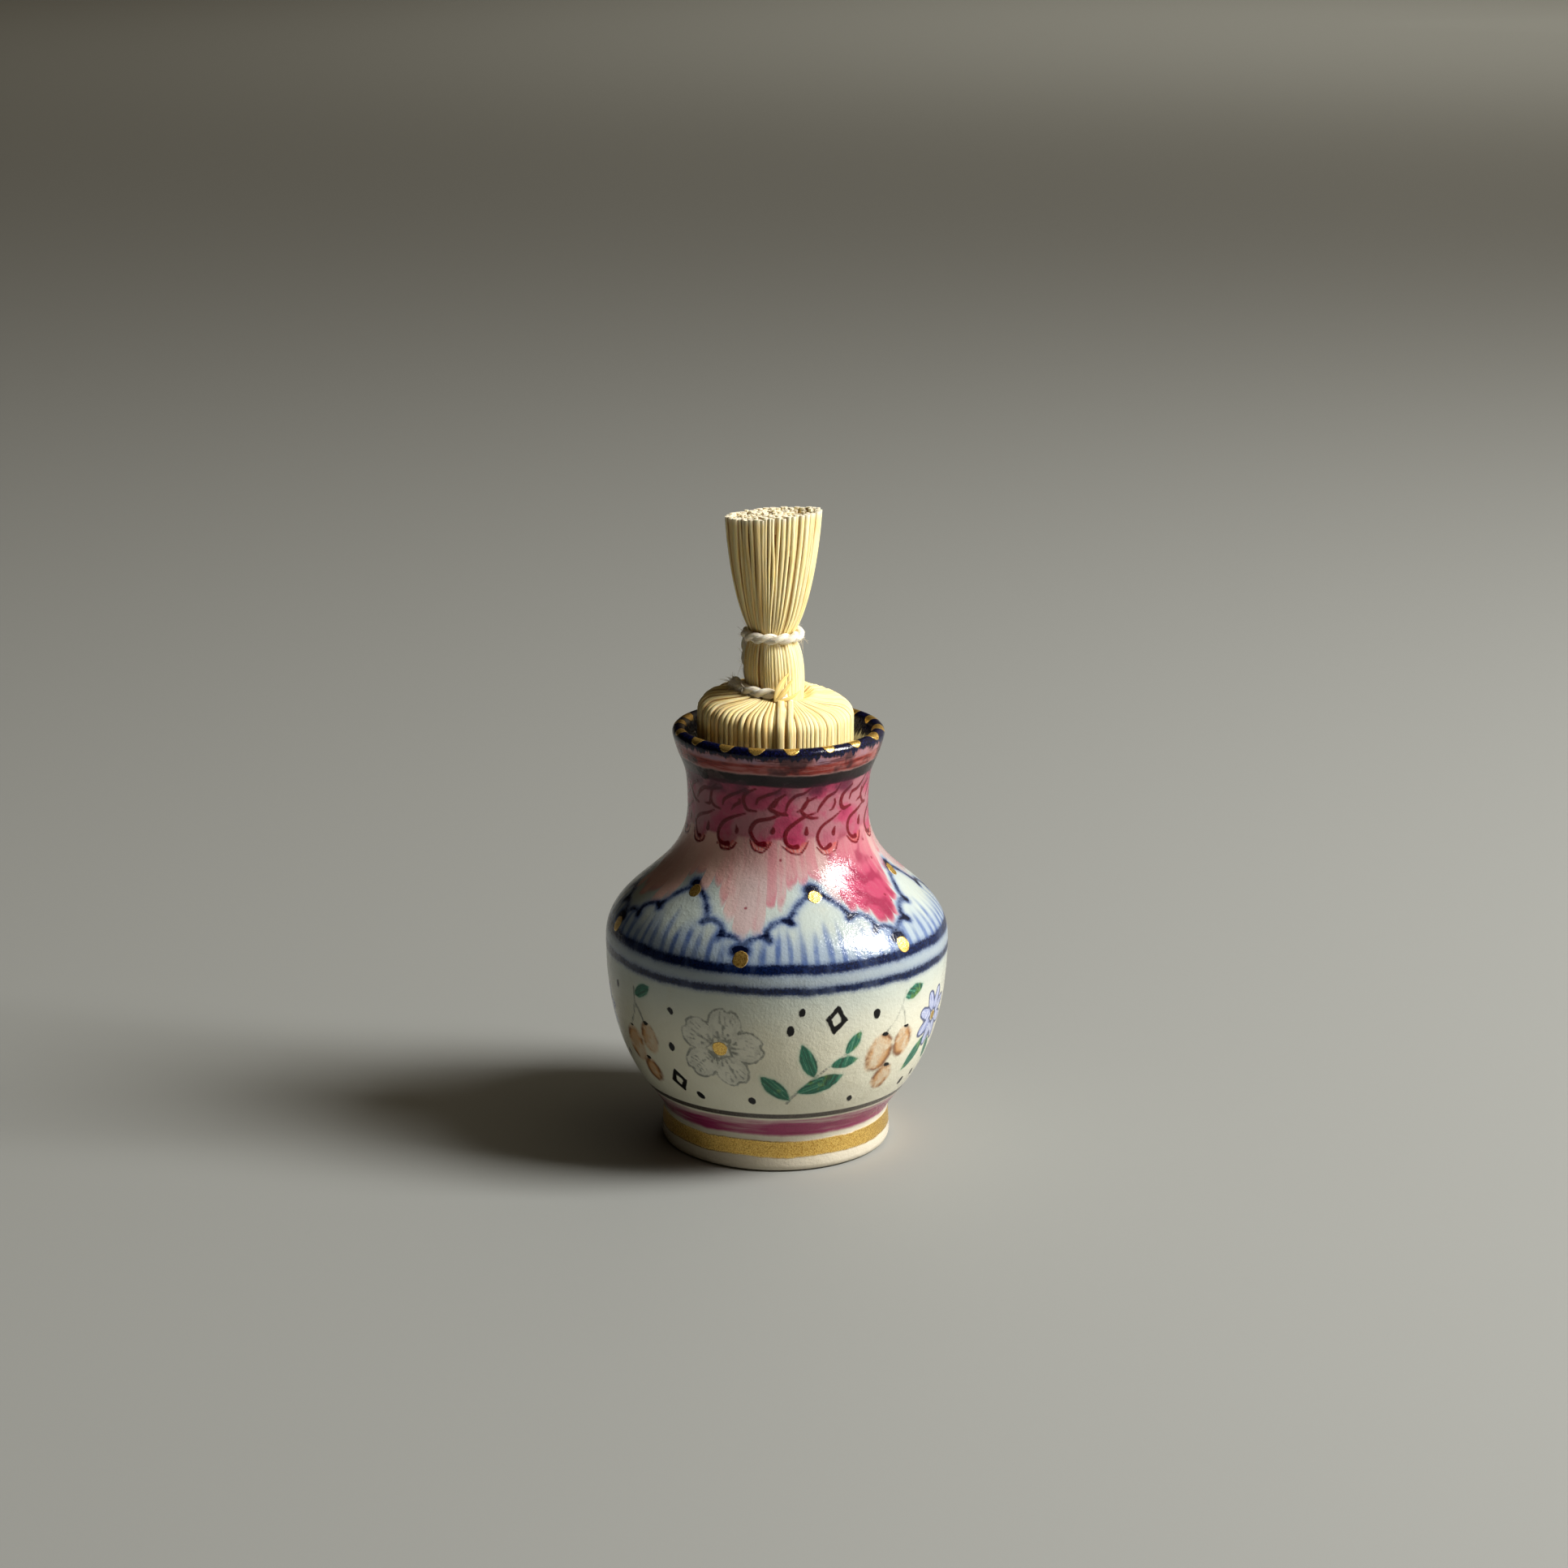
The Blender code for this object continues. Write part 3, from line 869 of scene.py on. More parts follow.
class PictureBand:
    """The belly's free pictures: blossoms, leaf sprays, fruits and small blue flowers, with ink dots."""

    SPOTS = (
        Spot(Motif.FRUITS, -54, 20.0, 1.0, -6),
        Spot(Motif.BLOSSOM, -19, 22.0, 1.0, 12),
        Spot(Motif.LEAVES, 9, 13.6, 1.0, 18),
        Spot(Motif.FRUITS, 43, 20.5, 1.05, 10),
        Spot(Motif.DAISY, 68, 22.5, 1.0, 20),
        Spot(Motif.LEAVES, 97, 14.0, 1.05, -16),
        Spot(Motif.BLOSSOM, 126, 21.0, 0.95, 40),
        Spot(Motif.FRUITS, 157, 20.0, 1.0, 8),
        Spot(Motif.DAISY, -173, 22.5, 0.95, 0),
        Spot(Motif.LEAVES, -146, 13.8, 1.0, 12),
        Spot(Motif.BLOSSOM, -113, 21.5, 1.0, -20),
        Spot(Motif.DAISY, -83, 22.0, 0.9, 30),
        Spot(Motif.LOZENGE, 20, 26.8, 1.0, 8),
        Spot(Motif.LOZENGE, -38, 15.0, 0.9, -12),
        Spot(Motif.LOZENGE, 86, 26.6, 1.0, 5),
        Spot(Motif.LOZENGE, 142, 27.0, 0.9, -8),
        Spot(Motif.LOZENGE, -97, 14.5, 1.0, 10),
    )
    DOTS = 34
    DOT_ROOM = 1.15
    DOT_TRIES = 900
    BLADES = (
        (0.15, -62, 6.6, 1.25),
        (0.3, 50, 7.6, 1.45),
        (0.55, -38, 6.4, 1.2),
        (0.8, 62, 4.6, 0.95),
        (1.0, 18, 4.2, 0.9),
    )
    FLOWER_LEAVES = ((-0.8, -3.2, -160, 6.4, 1.15), (1.2, -3.4, 140, 4.6, 0.9))
    ROUNDS = ((-1.9, -0.9, 2.3, 3.0), (2.3, 0.7, 1.9, 2.4), (0.5, -5.0, 1.7, 2.1))
    TWIG = ((0.6, 8.6), (0.3, 6.4), (-0.4, 4.2), (-1.6, 2.6))
    FORK = ((0.3, 6.4), (1.4, 4.6), (1.9, 3.2))

    def draw(self, canvas: Canvas) -> None:
        """Draws every motif, then scatters the ink dots in the room that is left."""
        makers = {
            Motif.BLOSSOM: self.blossom,
            Motif.LEAVES: self.leaves,
            Motif.FRUITS: self.fruits,
            Motif.DAISY: self.daisy,
            Motif.LOZENGE: self.lozenge,
        }
        for spot in self.SPOTS:
            found, x, y = canvas.near(spot.azimuth, canvas.run_of(spot.height), 12.0)
            x, y = turned(x / spot.size, y / spot.size, spot.turn)
            makers[spot.motif](canvas, found, x, y)
        self.dots(canvas)

    def blossom(self, canvas: Canvas, found: Array, x: Array, y: Array) -> None:
        """Five notched round petals folded from one, stamens between them and a gold middle."""
        reach, fold = np.hypot(x, y), 2 * np.pi / 5
        angle = np.arctan2(x, y)
        nearest = (angle + fold / 2) % fold - fold / 2
        petals = np.full(len(x), FAR)
        for k in (-1, 0, 1):
            across, along = reach * np.sin(nearest + k * fold), reach * np.cos(nearest + k * fold)
            petal = oval_distance(across, along - 4.1, 2.55, 2.6)
            petals = np.minimum(petals, np.maximum(petal, 0.75 - np.hypot(across, along - 7.0)))
        canvas.lay(Layer.PETAL, found, petals)
        across, along = np.abs(reach * np.sin(nearest)), reach * np.cos(nearest)
        for lean, start, end in ((0.0, 3.9, 5.4), (0.16, 4.2, 5.9), (0.3, 4.0, 5.2)):
            gap = np.abs(across - lean * along)
            past = np.maximum(np.maximum(start - along, along - end), 0)
            canvas.lay(Layer.VEIN, found, np.hypot(gap, past) - 0.05)
        for part in (5, 10):
            fold = 2 * np.pi / part
            spoke = (angle + (fold / 2 if part == 5 else 0)) % fold - fold / 2
            across, along = np.abs(reach * np.sin(spoke)), reach * np.cos(spoke)
            end = 3.4 if part == 5 else 2.5
            line = np.hypot(across, np.maximum(np.maximum(1.3 - along, along - end), 0)) - 0.08
            canvas.lay(Layer.VEIN, found, line)
            canvas.lay(Layer.VEIN, found, np.hypot(across, along - end - 0.3) - 0.2)
        canvas.lay(Layer.GILT, found, oval_distance(x, y, 1.2, 1.1))

    def leaves(self, canvas: Canvas, found: Array, x: Array, y: Array) -> None:
        """A stem that bends to the right, with three broad pointed leaves and a small one."""
        share = np.linspace(0, 1, 14)
        stem = np.stack([-1.5 + 5.5 * share**1.5, -1.5 + 11.0 * share], axis=1)
        canvas.lay(Layer.VEIN, found, pen_distance(x, y, stem, np.linspace(0.16, 0.1, 14)))
        for place, angle, length, half in self.BLADES:
            root = stem[int(place * 13)]
            u, v = turned(x - root[0], y - root[1], angle)
            canvas.lay(Layer.LEAF, found, blade_distance(u, v, length, half), u + 3 * place)

    def fruits(self, canvas: Canvas, found: Array, x: Array, y: Array) -> None:
        """Two round fruits and a bud on a forked twig, each with a small dark crown."""
        canvas.lay(Layer.VEIN, found, pen_distance(x, y, np.array(self.TWIG), np.full(4, 0.13)))
        canvas.lay(Layer.VEIN, found, pen_distance(x, y, np.array(self.FORK), np.full(3, 0.12)))
        for fx, fy, wide, tall in self.ROUNDS:
            u, v = x - fx, y - fy
            canvas.lay(Layer.FRUIT, found, oval_distance(u, v, wide, tall), u)
            canvas.lay(Layer.INK, found, oval_distance(u, v - tall, 0.8, 0.45) + 0.22)
        u, v = turned(x - 0.6, y - 7.4, 66)
        canvas.lay(Layer.LEAF, found, blade_distance(u, v, 4.4, 0.95), u)

    def daisy(self, canvas: Canvas, found: Array, x: Array, y: Array) -> None:
        """Eight narrow blue petals folded from one, round a gold middle, with two green leaves."""
        reach, fold = np.hypot(x, y), np.pi / 4
        nearest = (np.arctan2(x, y) + fold / 2) % fold - fold / 2
        across, along = reach * np.sin(nearest), reach * np.cos(nearest)
        canvas.lay(Layer.BLOOM, found, oval_distance(across, along - 2.9, 0.95, 1.95), across)
        canvas.lay(Layer.GILT, found, reach - 0.75)
        for root_x, root_y, angle, length, half in self.FLOWER_LEAVES:
            u, v = turned(x - root_x, y - root_y, angle)
            canvas.lay(Layer.LEAF, found, blade_distance(u, v, length, half), u)

    def lozenge(self, canvas: Canvas, found: Array, x: Array, y: Array) -> None:
        """A small upright lozenge in thick black outline."""
        distance = np.abs(x) / 1.3 + np.abs(y) / 1.8 - 1
        canvas.lay(Layer.INK, found, np.abs(distance) - 0.36)

    def dots(self, canvas: Canvas) -> None:
        """Scatters upright oval dots, none closer than a set room to anything drawn."""
        rng, made, tries = canvas.rng, 0, 0
        while made < self.DOTS and tries < self.DOT_TRIES:
            tries += 1
            azimuth, height = rng.uniform(-180, 180), rng.uniform(12.3, 28.8)
            if not canvas.clear_of(azimuth, height, self.DOT_ROOM):
                continue
            found, x, y = canvas.near(azimuth, canvas.run_of(height), 2.0)
            x, y = turned(x, y, 18 * rng.normal())
            size = rng.uniform(0.42, 0.6)
            canvas.lay(Layer.INK, found, oval_distance(x, y, size, 1.45 * size))
            made += 1


class PaintedSkin(NodeBoard):
    """The board that the bottle is painted on: its colour so far, and what every band of it reads."""

    def __init__(self, at: dict, colour: tuple) -> None:
        """Starts the bare glaze and the shared fields.

        Args:
            at: named runs that the bands are drawn at.
            colour: the bare glaze.
        """
        super().__init__("painted_porcelain")
        self.at = at
        self.colour = colour
        self.point = self.place()
        self.run = self.layer("run")
        x, y, _ = self.split(self.point)
        length = self.math("SQRT", x * x + y * y)
        self.right = x / length
        back = y / length
        self.around = self.join(self.right, back, self.run * 0.01)
        self.angle = self.math("ARCTAN2", self.right, -back)
        self.wander = self.noise(self.point, 0.11, 2.0) - 0.5
        self.shiver = self.noise(self.point, 0.8, 2.0) - 0.5
        self.grain = self.noise(self.point, 3.2, 3.0, 0.65)
        self.mottle = self.noise(self.point, 0.36, 3.0, 0.6)
        self.wavy = self.run + self.wander * 1.0 + self.shiver * 0.35

    def lay(self, mask: Wire, tint: "Wire | tuple") -> None:
        """Lays a tint over the colour so far, by a mask."""
        self.colour = self.mix(mask, self.colour, tint)


@dataclass(frozen=True)
class PorcelainPaint:
    """The bottle's finish: glaze, underglaze blue, enamel washes, iron red, ink and gold."""

    cream: tuple = srgb(229, 227, 208)
    foot_white: tuple = srgb(214, 207, 190)
    blue_white: tuple = srgb(186, 197, 193)
    pink_white: tuple = srgb(194, 166, 160)
    navy: tuple = srgb(20, 42, 90)
    navy_dark: tuple = srgb(10, 20, 50)
    soft_blue: tuple = srgb(84, 108, 158)
    pale_blue: tuple = srgb(136, 156, 188)
    rose: tuple = srgb(178, 60, 100)
    rose_deep: tuple = srgb(132, 28, 66)
    rose_pale: tuple = srgb(196, 142, 146)
    maroon: tuple = srgb(112, 12, 32)
    flood_azimuth: float = 46.0
    strokes_round: float = 62.0
    salmon: tuple = srgb(196, 96, 88)
    iron_red: tuple = srgb(146, 46, 34)
    plum: tuple = srgb(160, 62, 108)
    smoke: tuple = srgb(26, 8, 13)
    line_grey: tuple = srgb(88, 82, 76)
    pencil: tuple = srgb(118, 122, 116)
    teal: tuple = srgb(22, 118, 94)
    green: tuple = srgb(84, 128, 56)
    amber: tuple = srgb(206, 146, 76)
    brown: tuple = srgb(124, 70, 28)
    lilac: tuple = srgb(150, 160, 205)
    ink: tuple = srgb(16, 15, 17)
    gold: tuple = srgb(255, 222, 138)
    mottling: tuple = srgb(196, 188, 160)
    rose_stroke: tuple = srgb(190, 108, 124)
    rose_rim: tuple = srgb(186, 92, 116)
    # Painted light: a pale pink for the left side, which the window leaves in shade; not an enamel colour.
    rose_painted_shade_side: tuple = srgb(236, 198, 186)
    red_speck: tuple = srgb(128, 34, 56)
    rose_wash: tuple = srgb(164, 94, 112)
    line_blue: tuple = srgb(116, 134, 172)
    navy_halo: tuple = srgb(62, 86, 140)
    plum_pale: tuple = srgb(186, 130, 150)
    plum_streak: tuple = srgb(110, 26, 54)
    petal_white: tuple = srgb(222, 223, 213)
    leaf_vein: tuple = srgb(10, 62, 52)
    leaf_light: tuple = srgb(126, 180, 152)
    leaf_halo: tuple = srgb(150, 190, 170)
    lilac_light: tuple = srgb(206, 212, 232)
    petal_edge: tuple = srgb(48, 62, 110)
    lip_pink: tuple = srgb(180, 108, 104)
    lip_mauve: tuple = srgb(150, 142, 170)
    dried_red: tuple = srgb(88, 20, 24)
    soot: tuple = srgb(46, 22, 32)
    black_wash: tuple = srgb(52, 22, 36)
    bruise: tuple = srgb(74, 26, 50)
    glaze_inside: tuple = srgb(206, 208, 200)
    lip_night: tuple = srgb(9, 11, 30)
    lip_blue: tuple = srgb(24, 30, 84)
    gold_dull: tuple = srgb(196, 146, 62)

    def material(self, at: dict) -> bpy.types.Material:
        """Builds the painted glaze.

        Args:
            at: named runs that the bands are drawn at.

        Returns:
            The material.
        """
        skin = PaintedSkin(at, self.cream)
        place, run, shiver = skin.point, skin.run, skin.shiver
        bands = (self.ground, self.lappets, self.drips, self.scrolls, self.lines, self.pictures, self.neck)
        for paint in bands:
            paint(skin)
        gilt = self.gilt(skin)
        crease = skin.noise(place, 5.2, 3.0, 0.7)
        gold = skin.mix(skin.ramp(crease, 0.3, 0.62), self.gold_dull, self.gold)
        skin.lay(gilt, gold)
        ripple = skin.noise(place, 2.3, 2.0, 0.6)
        peel = skin.noise(place, 0.25, 1.0, 0.5)
        bare = skin.inside(run, 0.35, 0.3)
        thick = skin.inside(skin.layer("scroll"), 0.0, 0.2) | skin.inside(skin.layer("ink"), 0.0, 0.2)
        uneven = ripple * 0.05 + shiver * 0.035 + peel * 0.13
        height = uneven + thick * 0.03 + gilt * (0.04 + crease * 0.05)
        frost = skin.ramp(skin.noise(place, 4.0, 2.0, 0.6), 0.46, 0.56)
        rough = 0.06 + frost * 0.2 * (1.0 - gilt) + gilt * 0.22 + bare * 0.4
        return skin.finish(
            {
                "Base Color": skin.colour,
                "Metallic": gilt * 0.85,
                "Roughness": rough,
                "Normal": skin.bump(height, 1.0),
                "IOR": 1.5,
            }
        )

    def ground(self, skin: PaintedSkin) -> None:
        """Warm cream on the belly, cool white on the shoulder, and a pink breath on the neck."""
        run, mottle, at = skin.run, skin.mottle, skin.at
        cool = skin.ramp(run, at["lower_line"] - 10.0, at["upper_line"])
        skin.lay(cool, self.blue_white)
        pink = skin.ramp(run, at["scroll_foot"] - 7.0, at["scroll_foot"] - 1.0)
        skin.lay(pink * 0.8, self.pink_white)
        foot = skin.ramp(run, at["plum_low"] - 1.5, at["plum_low"] + 1.0, 1.0, 0.0)
        skin.lay(foot, self.foot_white)
        skin.lay(skin.ramp(mottle, 0.45, 0.75) * 0.14, self.mottling)

    def lappets(self, skin: PaintedSkin) -> None:
        """Blue lappets: a soft inky edge, a pale flush inside it, and long strokes over the line."""
        wavy, around, grain = skin.wavy, skin.around, skin.grain
        mottle, shiver, at = skin.mottle, skin.shiver, skin.at
        edge, lobe = skin.layer("lappet"), skin.layer("lobe")
        over_line = skin.ramp(wavy, at["upper_line"] + 0.1, at["upper_line"] + 0.5)
        inner = skin.inside(lobe, -0.2, 0.3) * over_line
        skin.lay(skin.inside(edge, 0.8, 0.8) * 0.3, self.pale_blue)
        angle = skin.angle
        warp = skin.noise(around, 7.0, 1.0) - 0.5
        comb = skin.math("COSINE", angle * 76.0 + warp * 5.0) * 0.5 + 0.5
        reach = skin.noise(around, 12.0, 1.0) * 9.5
        height = wavy - at["upper_line"]
        fade = skin.ramp(height - reach, -2.4, 3.6, 1.0, 0.0)
        strokes = skin.ramp(comb + (grain - 0.5) * 0.5, 0.2, 1.0) * fade * inner
        skin.lay(inner * fade * 0.6, self.pale_blue)
        skin.lay(strokes * skin.ramp(mottle, 0.3, 0.6, 0.45, 0.9), self.soft_blue)
        rim = edge + (grain - 0.5) * 0.5 + shiver * 0.6
        worn = skin.ramp(mottle, 0.36, 0.56, 0.55, 1.0) | skin.inside(rim, -0.3, 0.2)
        skin.lay(skin.inside(rim, 0.3, 0.5) * 0.75, self.soft_blue)
        tint = skin.mix(skin.inside(rim, -0.14, 0.2), self.navy, self.navy_dark)
        skin.lay(skin.inside(rim, 0.02, 0.34) * worn, tint)

    def drips(self, skin: PaintedSkin) -> None:
        """Rose enamel brushed down from the scrolls in broad streaks, with round ends over the lappets, and
        painted light on the shaded left side.
        """
        run, around, place, shiver, at = skin.run, skin.around, skin.point, skin.shiver, skin.at
        lobe = skin.layer("lobe")
        below = skin.band(run, at["upper_top"] + 1.0, at["scroll_foot"] + 1.6, 1.0)
        angle = skin.angle
        turn = angle * (self.strokes_round / math.tau) + (skin.noise(around, 3.0, 1.0) - 0.5) * 2.2
        share = skin.math("FRACT", turn) * 2.0 - 1.0
        number = skin.math("FLOORED_MODULO", skin.math("FLOOR", turn), self.strokes_round)
        own = skin.noise(skin.join(number * 0.37, number * 0.83, 0.5), 5.0, 0.0)
        round_end = skin.math("SQRT", 1.001 - share * share)
        flare = skin.math("COSINE", angle * 2.0 - math.radians(2 * self.flood_azimuth))
        held = skin.ramp(own, 0.34, 0.62) * (2.0 - skin.ramp(flare, 0.55, 0.85) * 1.6)
        margin = lobe - 0.1 - held + (round_end - 1.0) * 0.9 + shiver * 0.6
        body = skin.ramp(margin, -0.2, 1.2) * below
        streak = own * 0.6 + skin.noise(around, 22.0, 1.0, 0.5) * 0.4
        skin.lay(body * 0.5, self.rose_pale)
        lines = skin.ramp(streak, 0.42, 0.6) * (round_end * 0.6 + 0.4)
        skin.lay(body * lines * 0.5, self.rose_stroke)
        rim = skin.band(margin, 0.3, 1.1, 0.4) * below * skin.ramp(own, 0.42, 0.56)
        skin.lay(rim * 0.4, self.rose_rim)
        # Painted light on the shaded left (-X) side: a pale pink laid over the rose stands in for how light
        # falls there, not for the enamel.
        painted_shade_side = skin.ramp(skin.right, -0.2, -0.7) * body
        skin.lay(painted_shade_side * 0.75, self.rose_painted_shade_side)
        flood = skin.ramp(flare + (streak - 0.5) * 0.8, 0.66, 1.0) * body
        upwards = skin.ramp(run, at["scroll_foot"] - 7.0, at["scroll_foot"], 0.9, 0.35)
        skin.lay(flood * upwards, self.rose)
        deep = skin.ramp(skin.noise(place, 0.4, 1.0), 0.46, 0.64) * flood
        skin.lay(deep * 0.6, self.rose_deep)
        speck = skin.inside(skin.cells(place, 0.3), 0.075, 0.03) * skin.ramp(margin, -0.5, 0.5) * below
        skin.lay(speck * 0.75, self.red_speck)

    def scrolls(self, skin: PaintedSkin) -> None:
        """The neck's mottled rose wash, with its scalloped foot, and the maroon scrolls over it."""
        run, place, grain, at = skin.run, skin.point, skin.grain, skin.at
        under = skin.inside(run, at["black_low"] + 0.6, 0.4)
        wash = skin.layer("wash")
        cloud = skin.noise(place, 0.19, 3.0, 0.55)
        inside = skin.inside(wash + (grain - 0.5) * 0.5, 0.0, 0.4) * under
        skin.lay(inside * 0.78, self.rose_wash)
        skin.lay(inside * skin.ramp(cloud, 0.42, 0.58, 0.05, 0.85), self.rose)
        skin.lay(inside * skin.ramp(cloud, 0.56, 0.72) * 0.6, self.rose_deep)
        hatch = skin.inside(skin.layer("hatch"), 0.04, 0.08) * under
        skin.lay(hatch * skin.ramp(grain, 0.3, 0.55, 0.5, 0.9), self.salmon)
        ink = skin.inside(skin.layer("scroll") + (grain - 0.5) * 0.2, 0.03, 0.11) * under
        skin.lay(ink * skin.ramp(grain, 0.25, 0.5, 0.7, 1.0), self.maroon)

    def lines(self, skin: PaintedSkin) -> None:
        """The two navy lines of the belly, with bled edges, and the grey and plum lines at its foot."""
        wavy, run, around, grain, at = skin.wavy, skin.run, skin.around, skin.grain, skin.at
        bled = wavy + (grain - 0.5) * 0.6
        between = skin.band(wavy, at["lower_top"] - 0.3, at["upper_line"] + 0.3, 0.5)
        skin.lay(between * 0.4, self.line_blue)
        worn = skin.ramp(skin.noise(around, 9.0, 3.0, 0.6), 0.3, 0.55, 0.8, 1.0)
        for low, high in (("lower_line", "lower_top"), ("upper_line", "upper_top")):
            halo = skin.band(bled, at[low] - 0.2, at[high] + 0.2, 0.55)
            core = skin.band(bled, at[low] + 0.08, at[high] - 0.08, 0.3)
            skin.lay(halo * 0.6, self.navy_halo)
            tint = skin.mix(skin.ramp(grain, 0.35, 0.68), self.navy_dark, self.navy)
            skin.lay(core * worn, tint)
        brushed = skin.noise(skin.scaled(around, (2.0, 2.0, 90.0)), 1.4, 3.0, 0.55)
        slow = skin.noise(around, 0.9, 1.0)
        plum_band = skin.band(wavy, at["plum_low"], at["plum_high"], 0.4)
        skin.lay(plum_band * 0.6, self.plum_pale)
        lower = skin.ramp(wavy, at["plum_high"] - 0.3, at["plum_high"] - 1.8)
        dense = skin.ramp(brushed * 0.7 + slow * 1.1 + lower * 0.3, 0.82, 1.25)
        skin.lay(plum_band * dense, self.plum)
        streaks = skin.ramp(brushed, 0.56, 0.72) * lower
        skin.lay(plum_band * streaks * 0.5, self.plum_streak)
        rise = skin.noise(around, 1.1, 1.0) - 0.5
        grey = skin.band(run + rise * 0.35, at["grey_low"], at["grey_high"], 0.14)
        skin.lay(grey * skin.ramp(grain, 0.2, 0.5, 0.8, 1.0), self.line_grey)

    def pictures(self, skin: PaintedSkin) -> None:
        """The belly's motifs: pencilled petals, brushed leaves and fruits, blue petals and black ink."""
        shiver, grain, mottle = skin.shiver, skin.grain, skin.mottle
        brush = skin.layer("brush")
        hairs = skin.noise(skin.join(brush * 2.0, shiver * 0.6, mottle * 2.0), 1.2, 3.0, 0.6)
        pressure = skin.ramp(mottle + (grain - 0.5) * 0.5, 0.34, 0.62)
        petal = skin.layer("petal") + shiver * 0.5
        skin.lay(skin.inside(petal, 0.0, 0.3) * 0.5, self.petal_white)
        skin.lay(skin.band(petal, -1.3, -0.1, 0.4) * pressure * 0.22, self.pencil)
        rim = skin.inside(skin.math("ABSOLUTE", petal) - pressure * 0.1, 0.1, 0.12)
        vein = skin.inside(skin.layer("vein") + shiver * 0.3 - pressure * 0.06, 0.04, 0.12)
        skin.lay((rim * 0.8 | vein * 0.8) * (pressure * 0.6 + 0.4), self.pencil)
        fruit = skin.layer("fruit") + shiver * 0.8
        clouds = skin.ramp(fruit, -1.3, -0.1) * skin.ramp(mottle, 0.38, 0.58)
        shade = clouds | skin.ramp(hairs, 0.5, 0.7) * 0.5
        rind = skin.mix(shade, self.amber, self.brown)
        thin = skin.ramp(mottle, 0.36, 0.58, 0.4, 0.9) * skin.ramp(fruit, -2.0, -0.5, 0.7, 1.0)
        skin.lay(skin.inside(fruit, 0.05, 0.4) * thin, rind)
        leaf = skin.layer("leaf") + shiver * 0.45
        tint = skin.mix(skin.ramp(mottle, 0.55, 0.64), self.teal, self.green)
        tint = skin.mix(skin.ramp(hairs, 0.46, 0.62) * 0.75, tint, self.leaf_vein)
        tint = skin.mix(skin.ramp(hairs, 0.46, 0.34) * 0.55, tint, self.leaf_light)
        skin.lay(skin.inside(leaf, 0.25, 0.3) * 0.3, self.leaf_halo)
        skin.lay(skin.inside(leaf, 0.0, 0.16) * 0.94, tint)
        bloom = skin.layer("bloom") + shiver * 0.5
        petals = skin.mix(skin.ramp(hairs, 0.4, 0.6), self.lilac, self.lilac_light)
        skin.lay(skin.inside(bloom, 0.0, 0.18), petals)
        ring = skin.inside(skin.math("ABSOLUTE", bloom), 0.18, 0.12)
        skin.lay(ring * 0.85, self.petal_edge)
        ink = skin.inside(skin.layer("ink") + shiver * 0.5, 0.0, 0.1)
        skin.lay(ink, self.ink)

    def neck(self, skin: PaintedSkin) -> None:
        """Under the lip: an uneven black band, a pale one, a brushed iron red one, and the navy lip."""
        run, around, place, grain, at = skin.run, skin.around, skin.point, skin.grain, skin.at
        slow = skin.noise(around, 1.3, 2.0, 0.6) - 0.5
        brushed = skin.noise(skin.scaled(around, (2.4, 2.4, 110.0)), 1.4, 3.0, 0.6)
        blotch = skin.noise(place, 0.22, 3.0, 0.6)
        level = run + slow * 1.3 + (skin.noise(place, 0.5, 2.0) - 0.5) * 0.5
        upper = skin.ramp(level, at["black_high"] - 0.3, at["black_high"] + 0.5)
        skin.lay(upper * 0.8, self.lip_pink)
        band = skin.band(level, at["red_low"] - 0.9, at["red_low"] + 0.75, 0.4)
        skin.lay(band * skin.ramp(brushed, 0.36, 0.56, 0.3, 0.95), self.iron_red)
        pale = skin.ramp(level, at["red_low"] + 0.5, at["red_low"] + 1.0)
        skin.lay(pale * skin.ramp(blotch, 0.35, 0.6, 0.6, 0.1), self.lip_mauve)
        skin.lay(upper * skin.ramp(brushed, 0.54, 0.66) * 0.7, self.dried_red)
        skin.lay(upper * skin.ramp(blotch, 0.5, 0.66) * 0.8, self.soot)
        black = skin.band(level, at["black_low"], at["black_high"], 0.24)
        west = skin.ramp(skin.right, -0.1, -0.7)
        hold = 1.0 - (west * 0.75 + 0.12) * skin.ramp(blotch, 0.44, 0.56)
        skin.lay(black * 0.85, self.black_wash)
        skin.lay(black * hold, self.smoke)
        below_black = skin.band(level, at["black_low"] - 1.7, at["black_low"] + 0.4, 0.8)
        bruise = below_black * skin.ramp(blotch, 0.4, 0.6)
        skin.lay(bruise * 0.75, self.bruise)
        ragged = run + (skin.noise(around, 16.0, 2.0, 0.65) - 0.5) * 3.0
        navy = skin.ramp(ragged, at["navy_low"] - 0.2, at["navy_low"] + 0.3)
        tongue = (skin.noise(around, 20.0, 3.0, 0.65) - 0.5) * 3.4
        navy = navy * skin.ramp(run + tongue, at["navy_inside"] - 0.3, at["navy_inside"] + 0.6, 1.0, 0.0)
        inside = skin.ramp(run, at["lip"], at["lip"] + 0.5)
        skin.lay(inside, self.glaze_inside)
        blue = skin.mix(skin.ramp(grain, 0.42, 0.72), self.lip_night, self.lip_blue)
        skin.lay(navy, blue)

    def gilt(self, skin: PaintedSkin) -> Wire:
        """Where the gold is: dots, flower middles, lip spots and the band round the foot."""
        run, shiver, grain, at = skin.run, skin.shiver, skin.grain, skin.at
        spots = skin.inside(skin.layer("gilt") + shiver * 0.5, 0.0, 0.09)
        level = run + skin.wander * 0.7 + shiver * 0.3
        band = skin.band(level, at["gold_low"], at["gold_high"], 0.16)
        return spots | band * skin.ramp(grain, 0.2, 0.36, 0.8, 1.0)


